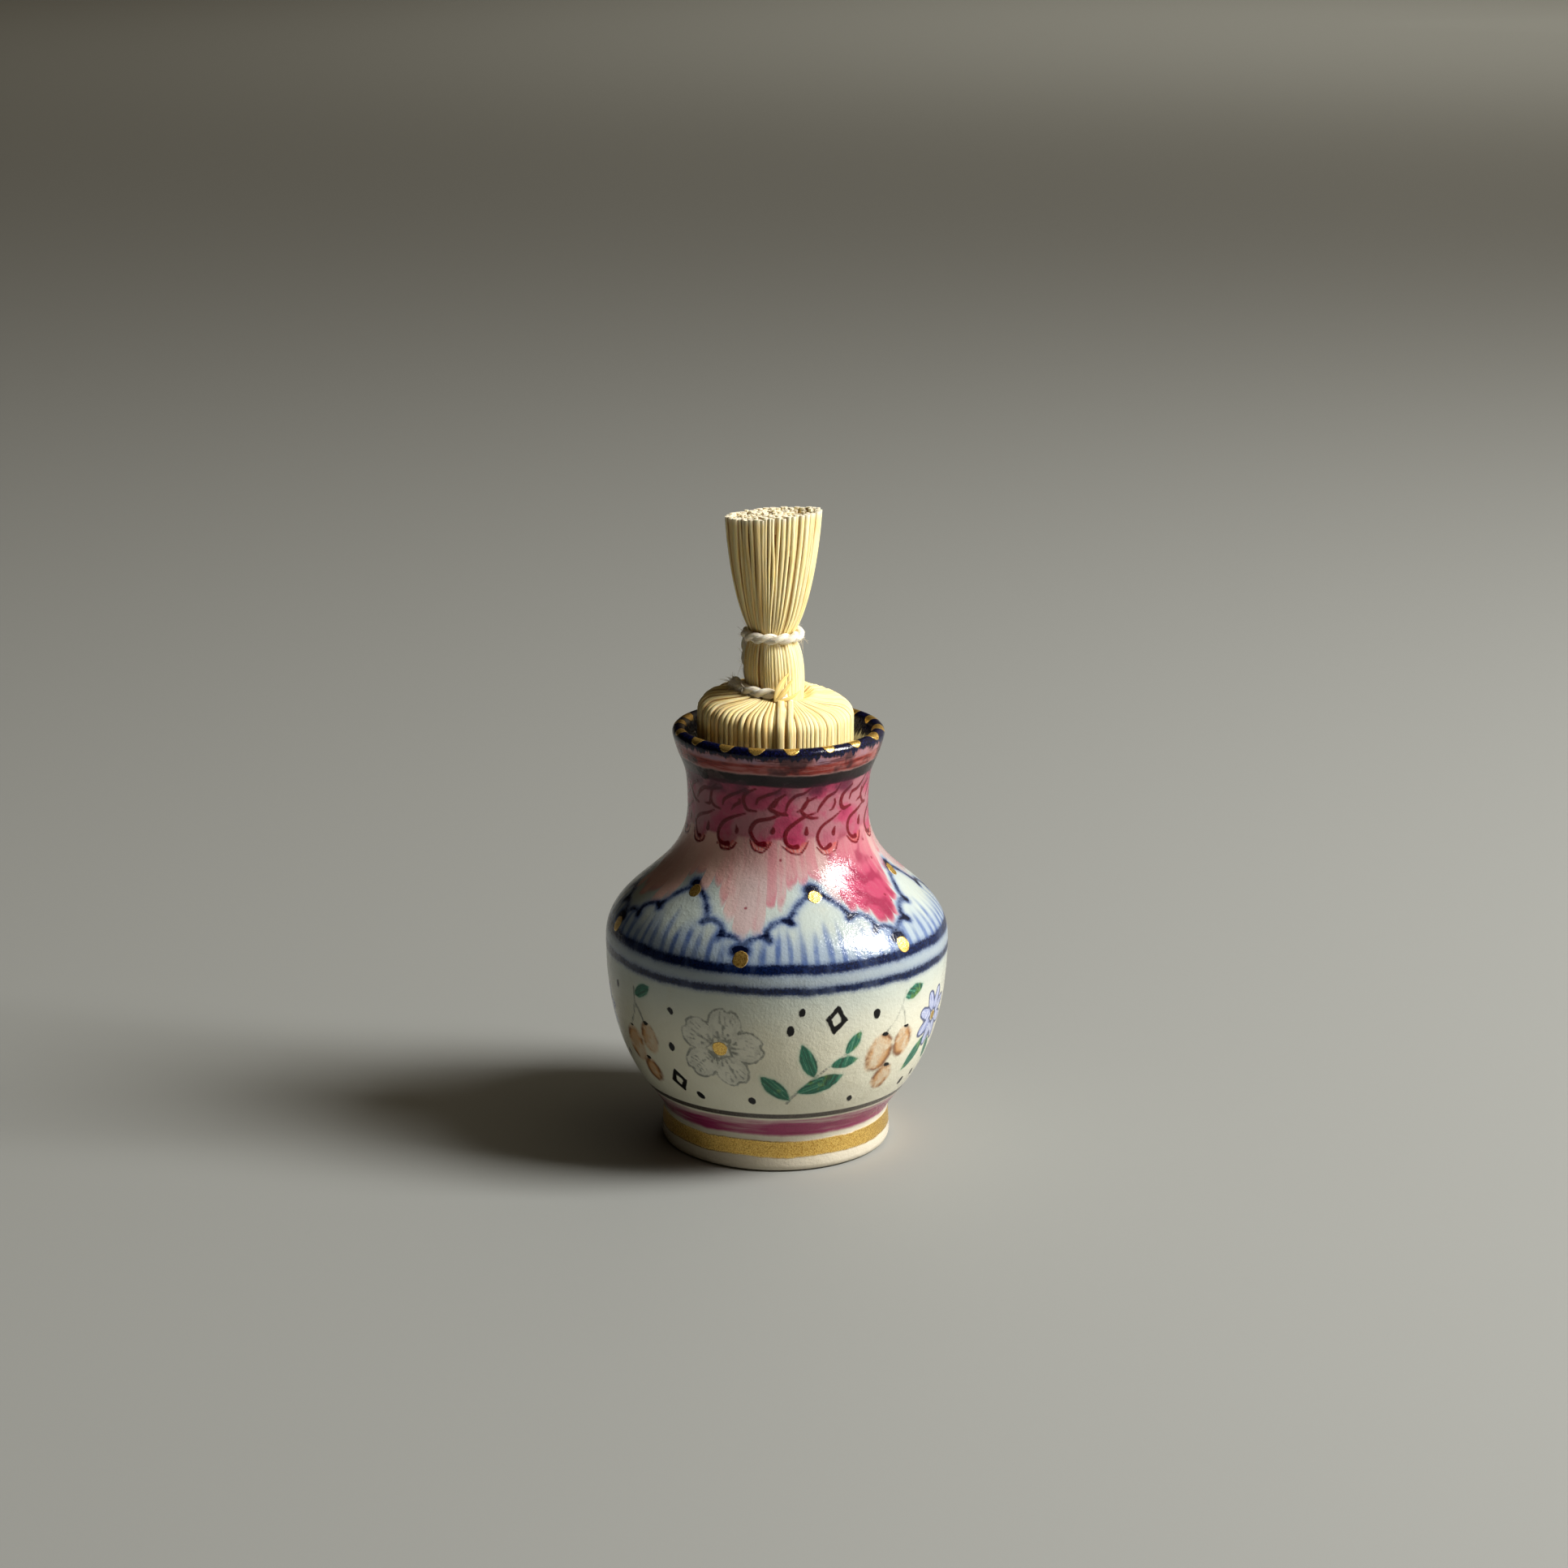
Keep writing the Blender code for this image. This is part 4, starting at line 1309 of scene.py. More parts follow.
class Bottle:
    """The painted bottle, as one closed turned skin that stands for the CAD solid."""

    NODE = "bottle"
    LEVELS = {
        "gold_low": 2.35,
        "gold_high": 4.85,
        "plum_low": 5.9,
        "plum_high": 9.3,
        "grey_low": 9.6,
        "grey_high": 10.55,
        "lower_line": 31.0,
        "lower_top": 32.25,
        "upper_line": 34.1,
        "upper_top": 35.6,
        "scroll_foot": 50.2,
        "black_low": 59.3,
        "black_high": 61.2,
        "red_low": 62.3,
        "navy_low": 63.75,
    }
    NAVY_INSIDE = 3.3

    def __init__(self) -> None:
        """Works out the section, its rows and the skin's points."""
        self.plan = RowPlan()
        fine = BottleSection().whole()
        length = arc_length(fine)
        edge = length[np.argmax(fine[:, 0] * (fine[:, 1] < 1.0))]
        run = edge - length
        top = int(np.argmax(fine[:, 1]))
        self.lip_run = float(run[top])
        density = 1.0 / self.plan.spacing(fine, run, self.lip_run)
        steps = np.concatenate([[0.0], np.cumsum(0.5 * (density[1:] + density[:-1]) * np.diff(length))])
        rows = int(round(steps[-1]))
        places = np.interp(np.linspace(0, steps[-1], rows + 1), steps, length)
        self.rows = resample(fine, places)
        self.runs = edge - places
        outside = slice(top, int(np.argmax(length > edge)))
        self.outside = {
            "height": fine[outside, 1][::-1],
            "run": run[outside][::-1],
            "radius": fine[outside, 0][::-1],
        }

    def canvas(self) -> Canvas:
        """The skin unrolled, poles included, in the order of the mesh's points."""
        columns = self.plan.columns
        turn = np.arange(columns) * 360.0 / columns - 180.0
        inner = slice(1, -1)
        azimuth = np.concatenate([[0.0], np.tile(turn, len(self.rows) - 2), [0.0]])
        radius = np.concatenate([[0.0], np.repeat(self.rows[inner, 0], columns), [0.0]])
        run = np.concatenate([self.runs[:1], np.repeat(self.runs[inner], columns), self.runs[-1:]])
        return Canvas(azimuth, radius, run, self.outside)

    def build(self) -> bpy.types.Object:
        """Turns the section, paints its layers and dresses it.

        Returns:
            The finished piece: x is radius times the sine of azimuth, y the cosine turned towards -Y.
        """
        canvas = self.canvas()
        LappetBorder().draw(canvas)
        ScrollBorder().draw(canvas)
        PictureBand().draw(canvas)
        LipSpots().draw(canvas, self.lip_run)
        columns = self.plan.columns
        height = np.concatenate(
            [self.rows[:1, 1], np.repeat(self.rows[1:-1, 1], columns), self.rows[-1:, 1]]
        )
        angle = np.radians(canvas.azimuth)
        points = np.stack([canvas.radius * np.sin(angle), -canvas.radius * np.cos(angle), height], axis=1)
        layers = {layer.value: values for layer, values in canvas.layers.items()}
        layers["run"] = canvas.run
        layers["brush"] = canvas.brush
        faces = MeshMaker.lathe_faces(len(self.rows) - 2, columns)
        made = MeshMaker.piece("painted_bottle", points, faces, layers, 60.0)
        levels = {name: canvas.run_of(height) for name, height in self.LEVELS.items()}
        levels["lip"] = self.lip_run
        levels["navy_inside"] = self.lip_run + self.NAVY_INSIDE
        return stand_for(made, self.NODE, PorcelainPaint().material(levels))


@dataclass(frozen=True)
class FibreFinish:
    """Dry split stems: pale straw, streaked along their length, paler at the cut, with painted shade towards
    each strand's edges.
    """

    name: str
    pale: tuple = srgb(254, 241, 198)
    mid: tuple = srgb(252, 229, 160)
    dark: tuple = srgb(224, 176, 98)
    # deep: painted shade for the gaps between strands and for the core.
    deep: tuple = srgb(158, 98, 38)
    pith: tuple = srgb(252, 244, 222)

    def material(self) -> bpy.types.Material:
        """Builds the finish from each strand's own coordinates.

        Returns:
            The material. The layer "fibre" holds the place across, the place along and the strand's tone.
        """
        board = NodeBoard(self.name)
        across, along, tone = board.split(board.layer_vector("fibre"))
        place = board.place()
        lengthwise = board.join(across * 5.0 + tone * 40.0, along * 0.22, tone * 17.0)
        streak = board.noise(lengthwise, 1.3, 4.0, 0.65)
        broad = board.noise(board.join(across * 1.4 + tone * 9.0, along * 0.1, tone * 31.0), 1.0, 2.0)
        cloud = board.noise(place, 0.3, 2.0)
        colour = board.mix(board.ramp(streak, 0.36, 0.64), self.mid, self.pale)
        colour = board.mix(board.ramp(broad, 0.5, 0.72) * 0.3, colour, self.dark)
        colour = board.mix(board.ramp(tone, 0.2, 1.0) * 0.4, colour, self.dark)
        colour = board.mix(board.ramp(cloud, 0.5, 0.75) * 0.2, colour, srgb(240, 224, 170))
        # Painted shade: towards each strand's edges, and over the whole core, the colour is mixed into the
        # deep brown that stands for the shade in the gaps between strands.
        valley = board.ramp(board.layer("valley"), 0.7, 1.0)
        colour = board.mix(valley * 0.7, colour, self.deep)
        cut = board.layer("cut")
        colour = board.mix(cut * 0.85, colour, self.pith)
        ridges = streak * 0.7 + board.noise(lengthwise, 4.0, 2.0) * 0.3
        return board.finish(
            {
                "Base Color": colour,
                "Roughness": 0.55 + board.ramp(streak, 0.3, 0.7) * 0.18,
                "Normal": board.bump(ridges, 0.12),
                "Subsurface Weight": 0.15,
                "Subsurface Radius": (1.0, 0.7, 0.4),
                "Subsurface Scale": 0.7 * MM,
                "Specular IOR Level": 0.35,
            }
        )


@dataclass
class StopperForm:
    """The stopper's main surfaces, set by the CAD solid's box."""

    middle_x: float = 0.0
    radius: float = 11.8
    seat: float = 59.2
    top: float = 98.1
    disc_height: float = 11.5
    dip: float = 1.1
    dome_radius: float = 5.9
    shoulder_drop: float = 3.5
    lean_front: float = 0.06
    lean_right: float = -0.06
    throat: float = 4.8
    foot_edge: float = 1.4
    knob_radius: float = 4.6
    knob_base: float = 4.2
    knob_height: float = 9.6
    waist_radius: float = 2.95
    waist_shift: float = -0.5
    brush_length: float = 18.4
    brush_half: float = 7.35
    brush_depth: float = 0.61
    cut_slope: float = 0.056
    brush_turn: float = 14.0

    @classmethod
    def from_frame(cls) -> "StopperForm":
        """Reads the disc's middle and radius and the seat from the CAD node's box."""
        low, high = (np.array(corner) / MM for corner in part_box("stopper"))
        return cls(middle_x=(low[0] + high[0]) / 2, radius=(high[0] - low[0]) / 2, seat=low[2], top=high[2])

    @property
    def disc_top(self) -> float:
        """The height of the low dome's crest."""
        return self.seat + self.disc_height

    @property
    def knob_foot(self) -> float:
        """The height where the knob leaves the disc."""
        return self.disc_top - self.dip

    @property
    def waist(self) -> float:
        """The height of the tied waist."""
        return self.knob_foot + self.knob_height

    @property
    def brush_top(self) -> float:
        """The height of the cut, at the stem's middle."""
        return self.waist + self.brush_length

    def disc_path(self) -> Array:
        """The disc's surface line, as (radius, height), from under the knob to the middle below."""
        drop, reach = self.shoulder_drop, self.radius - self.dome_radius
        shoulder = bezier(
            (self.dome_radius, self.disc_top),
            (self.dome_radius + 0.62 * reach, self.disc_top - 0.26 * drop),
            (self.radius, self.disc_top - 0.44 * drop),
            (self.radius, self.disc_top - drop),
            16,
        )
        foot = self.knob_foot
        inner = np.array([(3.4, foot + 0.1), (4.5, foot + 0.14), (5.2, self.disc_top - 0.35)])
        below = np.array(
            [
                (self.radius, self.seat + self.foot_edge),
                (self.radius - 0.4 * self.foot_edge, self.seat + 0.35 * self.foot_edge),
                (self.radius - self.foot_edge, self.seat),
                (6.0, self.seat + 0.2),
                (1.6, self.seat + 0.3),
            ]
        )
        return np.concatenate([inner, shoulder, below])

    def leaned(self, x: Array, y: Array, height: Array) -> Array:
        """Heights on the disc, tipped towards the front right above the lip by two small slopes."""
        share = np.clip((height - self.seat - self.throat) / (self.disc_height - self.throat), 0, 1)
        return height + share * (self.lean_front * y + self.lean_right * (x - self.middle_x))

    def stem_radius(self, height: Array) -> Array:
        """The stem's radius along X at given heights: the knob's curve, then the brush's."""
        bulge = self.knob_radius + 0.4 * (self.knob_radius - self.knob_base)
        spread = self.brush_half - self.waist_radius
        knob = bezier(
            (self.knob_base, self.knob_foot),
            (bulge, self.knob_foot + 0.35 * self.knob_height),
            (bulge, self.knob_foot + 0.82 * self.knob_height),
            (self.waist_radius, self.waist),
            60,
        )
        brush = bezier(
            (self.waist_radius, self.waist),
            (self.waist_radius + 0.5 * spread, self.waist + 0.13 * self.brush_length),
            (self.waist_radius + 0.86 * spread, self.waist + 0.58 * self.brush_length),
            (self.brush_half, self.brush_top),
            60,
        )
        curve = np.concatenate([knob, brush[1:]])
        return np.interp(height, curve[:, 1], curve[:, 0])

    def stem_middle(self, height: Array) -> Array:
        """The X of the stem's middle: it leans left up to the waist."""
        rise = np.clip((height - self.knob_foot) / self.knob_height, 0, 1)
        return self.middle_x + self.waist_shift * rise

    def opening(self, height: Array) -> Array:
        """How far the brush has opened, 0 at the waist and 1 at the cut."""
        spread = self.brush_half - self.waist_radius
        share = (self.stem_radius(height) - self.waist_radius) / spread
        return np.where(height > self.waist, np.clip(share, 0, 1), 0.0)


class StrandBuilder:
    """Sweeps flat oval strands along paths, all as whole arrays."""

    def __init__(self, sides: int = 8, flat: float = 1.0) -> None:
        """Keeps the number of points in each ring, and the power under 1 that flattens an oval's faces."""
        self.turn = 2 * np.pi * np.arange(sides) / sides
        self.flat = flat

    def rings(
        self, middle: Array, across: Array, outward: Array, half_width: Array, half_thick: Array
    ) -> Array:
        """Rings of points: the middle, plus the across way by a cosine and the outward way by a sine.

        Args:
            middle: strand middles, k by n by 3.
            across, outward: unit directions, of the same shape.
            half_width, half_thick: the oval's half sizes, k by n.

        Returns:
            Points, k by n by sides by 3.
        """
        c, s = (np.sign(w) * np.abs(w) ** self.flat for w in (np.cos(self.turn), np.sin(self.turn)))
        wide = (half_width[..., None] * c)[..., None] * across[:, :, None, :]
        thick = (half_thick[..., None] * s)[..., None] * outward[:, :, None, :]
        return middle[:, :, None, :] + wide + thick

    def piece(self, name: str, rings: Array, half_width: Array, tone: Array, cut: Array) -> bpy.types.Object:
        """One mesh of all strands, with the layers that the fibre finish reads.

        Args:
            name: the piece's name.
            rings: points, k by n by sides by 3.
            half_width: k by n.
            tone: one number for each strand.
            cut: how near the cut each ring is, k by n.

        Returns:
            The linked object.
        """
        count, length, sides, _ = rings.shape
        middle = rings.mean(axis=2)
        steps = np.linalg.norm(np.diff(middle, axis=1), axis=2)
        along = np.concatenate([np.zeros((count, 1)), np.cumsum(steps, axis=1)], axis=1)
        across = half_width[..., None] * np.cos(self.turn)
        fibre = np.stack(
            [
                across,
                np.broadcast_to(along[..., None], across.shape),
                np.broadcast_to(tone[:, None, None], across.shape),
            ],
            axis=-1,
        )
        layers = {
            "fibre": fibre.reshape(-1, 3),
            "cut": np.broadcast_to(cut[..., None], across.shape).reshape(-1),
            # valley is 1 at each strand's two edges, where the finish paints the shade of the gaps between
            # strands.
            "valley": np.broadcast_to(np.abs(np.cos(self.turn)), across.shape).reshape(-1),
        }
        faces = MeshMaker.tube_faces(count, length, sides)
        return MeshMaker.piece(name, rings.reshape(-1, 3), faces, layers, 60.0)


class Stopper:
    """The stopper: pleated disc, tied stem, folded leaf, and the plain cores inside them."""

    NODE = "stopper"
    PLEATS = 98
    STRANDS = 58
    INNER_STRANDS = 210
    KNOT_AZIMUTH = 14.0
    RIGHT_PULL = 45.0
    LEFT_PULL = 30.0
    SHEET_TURN = -50.0
    STRAW_PLACES = (0.8, 2.2)
    STRAW_HALVES = (0.6, 0.5)
    CUT_LEVEL = 0.15
    LEAF_FOLD = (-0.1, -6.4, -0.35)
    LEAF_TIPS = ((1.9, -4.6, 3.5), (2.5, -4.5, 2.6), (3.7, -4.6, 0.9))
    LEAF_BOWS = ((-0.3, -0.5, 0.1), (0.2, -0.45, -0.1), (0.2, -0.4, -0.3))
    LEAF_HALVES = (0.5, 0.4, 0.26)

    def __init__(self) -> None:
        """Reads the form, makes the finish and starts the seeded source of chance."""
        self.form = StopperForm.from_frame()
        self.builder = StrandBuilder(flat=0.72)
        self.rng = np.random.default_rng(SEED + 1)
        self.material = FibreFinish("split_stems").material()
        leaf = FibreFinish("leaf_sheath", srgb(252, 230, 164), srgb(242, 208, 124), srgb(210, 158, 80))
        self.leaf_material = leaf.material()

    def dress(self, piece: bpy.types.Object) -> bpy.types.Object:
        """Gives a piece the fibre finish, or the folded leaf's own."""
        material = self.leaf_material if piece.name == "folded_leaf" else self.material
        return stand_for(piece, self.NODE, material)

    def build(self) -> list:
        """Builds every piece of the stopper and returns them."""
        straws = [self.disc(), self.front_straws(), self.stem(), self.cut_ends()]
        return straws + [self.core(), self.folded_leaf()]

    def disc_frames(self, angle: Array, path: Array, proud: Array) -> tuple[Array, Array, Array]:
        """Middles and directions of strands that run down the disc's surface line.

        Args:
            angle: each strand's angle from +X at each point of the path, k by n, in radians.
            path: the surface line, n by 2, as (radius, height).
            proud: how far each strand's middle stands off that line, k by n.

        Returns:
            Middles, across directions and outward directions, each k by n by 3.
        """
        slope = np.gradient(path, axis=0)
        slope /= np.linalg.norm(slope, axis=1, keepdims=True)
        normal = np.stack([-slope[:, 1], slope[:, 0]], axis=1)
        radius = path[None, :, 0] + proud * normal[None, :, 0]
        height = path[None, :, 1] + proud * normal[None, :, 1]
        c, s = np.cos(angle), np.sin(angle)
        x, y = self.form.middle_x + radius * c, radius * s
        middle = np.stack([x, y, self.form.leaned(x, y, height)], axis=-1)
        across = np.stack([-s, c, np.zeros_like(s)], axis=-1)
        flat, rise = np.broadcast_to(normal[:, 0], c.shape), np.broadcast_to(normal[:, 1], c.shape)
        return middle, across, np.stack([flat * c, flat * s, rise], axis=-1)

    def gather(self, azimuth: Array) -> Array:
        """Where pleats start at the knob: each is drawn round towards the knot, by a squared sine.

        Args:
            azimuth: where they cross the rim, in degrees from the front, to the right.

        Returns:
            Where they start, in degrees.
        """
        right = np.clip((azimuth - self.KNOT_AZIMUTH) / (180.0 - self.KNOT_AZIMUTH), 0, 1)
        left = np.clip((self.KNOT_AZIMUTH - azimuth) / (180.0 + self.KNOT_AZIMUTH), 0, 1)
        pulled = azimuth - self.RIGHT_PULL * np.sin(np.pi * right) ** 2
        return pulled + self.LEFT_PULL * np.sin(np.pi * left) ** 2

    def disc(self) -> bpy.types.Object:
        """The pleats: strands fan out from the knot, round the shoulder and down into the throat."""
        rng, count = self.rng, self.PLEATS
        path = self.form.disc_path()
        path = resample(path, np.linspace(0, arc_length(path)[-1], 48))
        places = np.linspace(0, 1, 48)
        around = 2 * np.pi * np.arange(count) / count
        leftward = 0.5 + 0.5 * np.sin(around)
        width = (0.72 + 0.6 * leftward) * np.clip(1.0 + 0.18 * rng.normal(size=count), 0.6, 1.5)
        rim = 360.0 * np.cumsum(width) / width.sum() - 180.0
        start = self.gather(rim)
        rim_radius, knob_radius = self.form.radius - 1.6, 4.9
        share = np.clip((rim_radius - path[:, 0]) / (rim_radius - knob_radius), 0, 1) ** 1.1 * (places < 0.5)
        azimuth = rim[:, None] + (start - rim)[:, None] * share[None, :]
        azimuth = azimuth + 0.9 * smooth_waves(rng, count, places)
        spacing = (np.roll(azimuth, -1, axis=0) - np.roll(azimuth, 1, axis=0)) % 360.0 / 2
        overlap = 0.66 - 0.14 * leftward[:, None]
        half_width = np.clip(overlap * np.radians(spacing) * path[None, :, 0], 0.2, 1.05)
        half_thick = np.clip(0.7 * half_width, 0.16, 0.44)
        rough = (0.06 + 0.1 * leftward[:, None]) * rng.normal(size=(count, 1))
        depth = rough + 0.04 * smooth_waves(rng, count, places)
        proud = -half_thick - 0.03 + np.clip(depth, -0.3, 0.03)
        middle, across, outward = self.disc_frames(np.radians(azimuth - 90.0), path, proud)
        rings = self.builder.rings(middle, across, outward, half_width, half_thick)
        tone = rng.uniform(0, 1, count) ** 1.6
        uncut = np.zeros(azimuth.shape)
        return self.dress(self.builder.piece("stopper_pleats", rings, half_width, tone, uncut))

    def front_straws(self) -> bpy.types.Object:
        """Two flat straws that run straight to the front from the knot and down over the pleats."""
        rng, path = self.rng, self.form.disc_path()
        run = arc_length(path)
        start = float(np.interp(5.0, path[:6, 0], run[:6]))
        path = resample(path, np.linspace(start, run[-4], 44))
        places = np.linspace(0, 1, 44)
        sway = smooth_waves(rng, len(self.STRAW_PLACES), places)
        aside = np.array(self.STRAW_PLACES)[:, None] + 0.06 * sway
        angle = np.arcsin(aside / path[None, :, 0]) - np.pi / 2
        half_width = np.array(self.STRAW_HALVES)[:, None] * np.clip(0.75 + 1.6 * places[None, :], 0.75, 1.0)
        half_thick = np.full(half_width.shape, 0.17)
        proud = 0.1 + 0.05 * smooth_waves(rng, len(self.STRAW_PLACES), places)
        proud[:, :4] -= 0.25
        middle, across, outward = self.disc_frames(angle, path, proud)
        rings = self.builder.rings(middle, across, outward, half_width, half_thick)
        tone = np.array([0.05, 0.3])
        return self.dress(self.builder.piece("front_straws", rings, half_width, tone, np.zeros(angle.shape)))

    def stem_frames(self, angle: Array, height: Array, inset: Array, inner: float = 1.0) -> tuple:
        """Middles and directions of strands that rise through the knob, the waist and the brush.

        Args:
            angle: k by n, in radians from +X.
            height: k by n.
            inset: how far each middle is inside the stem's surface, k by n.
            inner: the share of the stem's radius that these strands stand at.

        Returns:
            Middles, across directions and outward directions, each k by n by 3.
        """
        form = self.form
        radius = form.stem_radius(height) * inner - inset
        depth = 1.0 - form.opening(height) * (1 - form.brush_depth)
        c, s = np.cos(angle), np.sin(angle)
        swing = np.radians(form.brush_turn) * form.opening(height)
        x = radius * (c * np.cos(swing) - s * depth * np.sin(swing))
        y = radius * (c * np.sin(swing) + s * depth * np.cos(swing))
        tilt = form.cut_slope * form.opening(height) ** 4
        middle = np.stack([form.stem_middle(height) + x, y, height + tilt * x], axis=-1)
        side_x = -s * np.cos(swing) - c * depth * np.sin(swing)
        side_y = -s * np.sin(swing) + c * depth * np.cos(swing)
        across = np.stack([side_x, side_y, np.zeros_like(s)], axis=-1)
        across /= np.linalg.norm(across, axis=-1, keepdims=True)
        outward = np.stack([across[..., 1], -across[..., 0], np.zeros_like(s)], axis=-1)
        return middle, across, outward

    def stem(self) -> bpy.types.Object:
        """The outer strands, from the disc through both ties to the cut."""
        rng, count, form = self.rng, self.STRANDS, self.form
        places = np.linspace(0, 1, 60)
        width = np.clip(1.0 + 0.32 * rng.normal(size=count), 0.5, 1.7)
        edges = 2 * np.pi * np.cumsum(width) / width.sum()
        half_angle = np.pi * width / width.sum()
        ends = form.brush_top - self.CUT_LEVEL + np.clip(0.08 * rng.normal(size=count), -0.15, 0.15)
        height = form.knob_foot - 0.3 + (ends[:, None] - form.knob_foot + 0.3) * places[None, :]
        opening = form.opening(height)
        angle = edges[:, None] + 0.035 * smooth_waves(rng, count, places) * (0.4 + opening)
        radius = form.stem_radius(height)
        half_width = 1.12 * half_angle[:, None] * radius * (1 - 0.12 * opening)
        half_thick = np.clip(0.08 * radius, 0.2, 0.32) + np.zeros_like(height)
        low = np.clip((form.waist - height) / 2.0, 0, 1)
        facing = np.cos(edges - np.radians(self.SHEET_TURN))[:, None]
        sheet = np.clip((facing - 0.45) / 0.3, 0, 1) * low
        half_width = half_width * (1.0 + 0.35 * sheet - 0.2 * low * (1 - sheet))
        paired = np.repeat(rng.normal(size=(count // 2, 1)), 2, axis=0)
        alone = rng.normal(size=(count, 1))
        depth = (0.3 * low * paired + 0.17 * (1 - low) * alone) * (0.6 + opening)
        depth = depth + 0.06 * smooth_waves(rng, count, places)
        depth = depth * (1 - 0.9 * sheet) + 0.06 * sheet
        inset = half_thick + np.clip(0.04 - depth, -0.05, 0.4)
        middle, across, outward = self.stem_frames(angle, height, inset)
        rings = self.builder.rings(middle, across, outward, half_width, half_thick)
        cut = np.clip((places[None, :] - 0.955) / 0.045, 0, 1) ** 2 + np.zeros_like(height)
        tone = rng.uniform(0, 1, count) ** 1.4 * (1 - 0.8 * sheet[:, 0])
        return self.dress(self.builder.piece("stem_strands", rings, half_width, tone, cut))

    def cut_ends(self) -> bpy.types.Object:
        """The inner straws, whose cut ends fill the brush's top unevenly, with a hollow at the right."""
        rng, count, form = self.rng, self.INNER_STRANDS, self.form
        share = np.sqrt((np.arange(count) + 0.5) / count) * 0.92
        angle = 2.399963 * np.arange(count) + 0.2 * rng.normal(size=count)
        places = np.linspace(0, 1, 8)
        hollow = np.exp(-(((share * np.cos(angle) - 0.45) / 0.25) ** 2) - (share * np.sin(angle) / 0.5) ** 2)
        ends = form.brush_top - self.CUT_LEVEL - 0.1 + 0.14 * rng.normal(size=count) - 1.1 * hollow
        height = form.brush_top - 6.0 + (ends[:, None] - form.brush_top + 6.0) * places[None, :]
        angles = np.broadcast_to(angle[:, None], height.shape)
        form_radius = form.stem_radius(height)
        inset = form_radius * (1 - share[:, None])
        middle, across, outward = self.stem_frames(angles, height, inset)
        size = 0.3 + 0.12 * rng.random((count, 1)) + np.zeros_like(height)
        squash = 0.62 + 0.3 * rng.random((count, 1))
        rings = StrandBuilder().rings(middle, across, outward, size, size * squash)
        cut = np.clip((places[None, :] - 0.6) / 0.4, 0, 1) + np.zeros_like(height)
        tone = rng.uniform(0, 0.5, count)
        return self.dress(self.builder.piece("cut_ends", rings, size, tone, cut))

    def core(self) -> bpy.types.Object:
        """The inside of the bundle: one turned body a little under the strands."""
        form = self.form
        disc = form.disc_path()[::-1]
        inset = 0.55
        below = np.stack([np.maximum(disc[:, 0] - inset, 0.5), disc[:, 1]], axis=1)
        middle_height = (form.seat + form.disc_top) / 2
        below[:, 1] += np.where(below[:, 1] < middle_height, inset, -inset)
        rise = np.linspace(form.knob_foot + 0.6, form.brush_top - 2.6, 34)
        stem = np.stack([form.stem_radius(rise) - inset, rise], axis=1)
        line = np.concatenate([below[below[:, 0] > 0.4], stem])
        columns = 64
        turn = 2 * np.pi * np.arange(columns) / columns
        radius, height = line[:, 0][:, None], line[:, 1][:, None]
        depth = 1.0 - form.opening(height) * (1 - form.brush_depth)
        swing = np.radians(form.brush_turn) * form.opening(height)
        wide, deep = radius * np.cos(turn), radius * np.sin(turn) * depth
        x = form.stem_middle(height) + wide * np.cos(swing) - deep * np.sin(swing)
        y = wide * np.sin(swing) + deep * np.cos(swing)
        on_disc = height < form.knob_foot + 0.7
        level = np.where(on_disc, form.leaned(x, y, np.broadcast_to(height, x.shape)) - 0.2, height)
        grid = np.stack([x, y, level], axis=-1).reshape(-1, 3)
        low = np.array([[form.middle_x, 0.0, line[0, 1]]])
        high = np.array([[form.stem_middle(line[-1:, 1])[0], 0.0, line[-1, 1]]])
        points = np.concatenate([low, grid, high])
        across = np.tile(turn * 4.0, len(line))
        fibre = np.zeros((len(points), 3))
        fibre[1:-1, 0] = across
        fibre[:, 1] = points[:, 2]
        fibre[:, 2] = 0.9
        # Painted shade: valley set to 1 everywhere and a dark tone give the core the deep brown, so that it
        # reads as the shade between the strands.
        layers = {"fibre": fibre, "cut": np.zeros(len(points)), "valley": np.ones(len(points))}
        faces = MeshMaker.lathe_faces(len(line), columns)
        return self.dress(MeshMaker.piece("bundle_core", points, faces, layers))

    def folded_leaf(self) -> bpy.types.Object:
        """A thin leaf folded over the lower tie at the front: pointed blades that leave one fold."""
        form, places = self.form, np.linspace(0, 1, 26)
        fold = np.array([form.middle_x, 0.0, form.disc_top]) + self.LEAF_FOLD
        tips = np.array([form.middle_x, 0.0, form.disc_top]) + np.array(self.LEAF_TIPS)
        bow = np.array(self.LEAF_BOWS)[:, None, :] * np.sin(np.pi * places)[None, :, None]
        middle = fold + (tips - fold)[:, None, :] * places[None, :, None] + bow
        along = np.gradient(middle, axis=1)
        along /= np.linalg.norm(along, axis=-1, keepdims=True)
        across = np.cross(along, np.array([0.3, -1.0, 0.15]))
        across /= np.linalg.norm(across, axis=-1, keepdims=True)
        taper = np.sin(np.pi * (0.1 + 0.89 * places)) ** 0.8
        half_width = np.array(self.LEAF_HALVES)[:, None] * taper
        half_thick = np.full(half_width.shape, 0.07)
        rings = self.builder.rings(middle, across, np.cross(across, along), half_width, half_thick)
        tone = np.array([0.15, 0.7, 0.35])
        uncut = np.zeros(half_width.shape)
        return self.dress(self.builder.piece("folded_leaf", rings, half_width, tone, uncut))


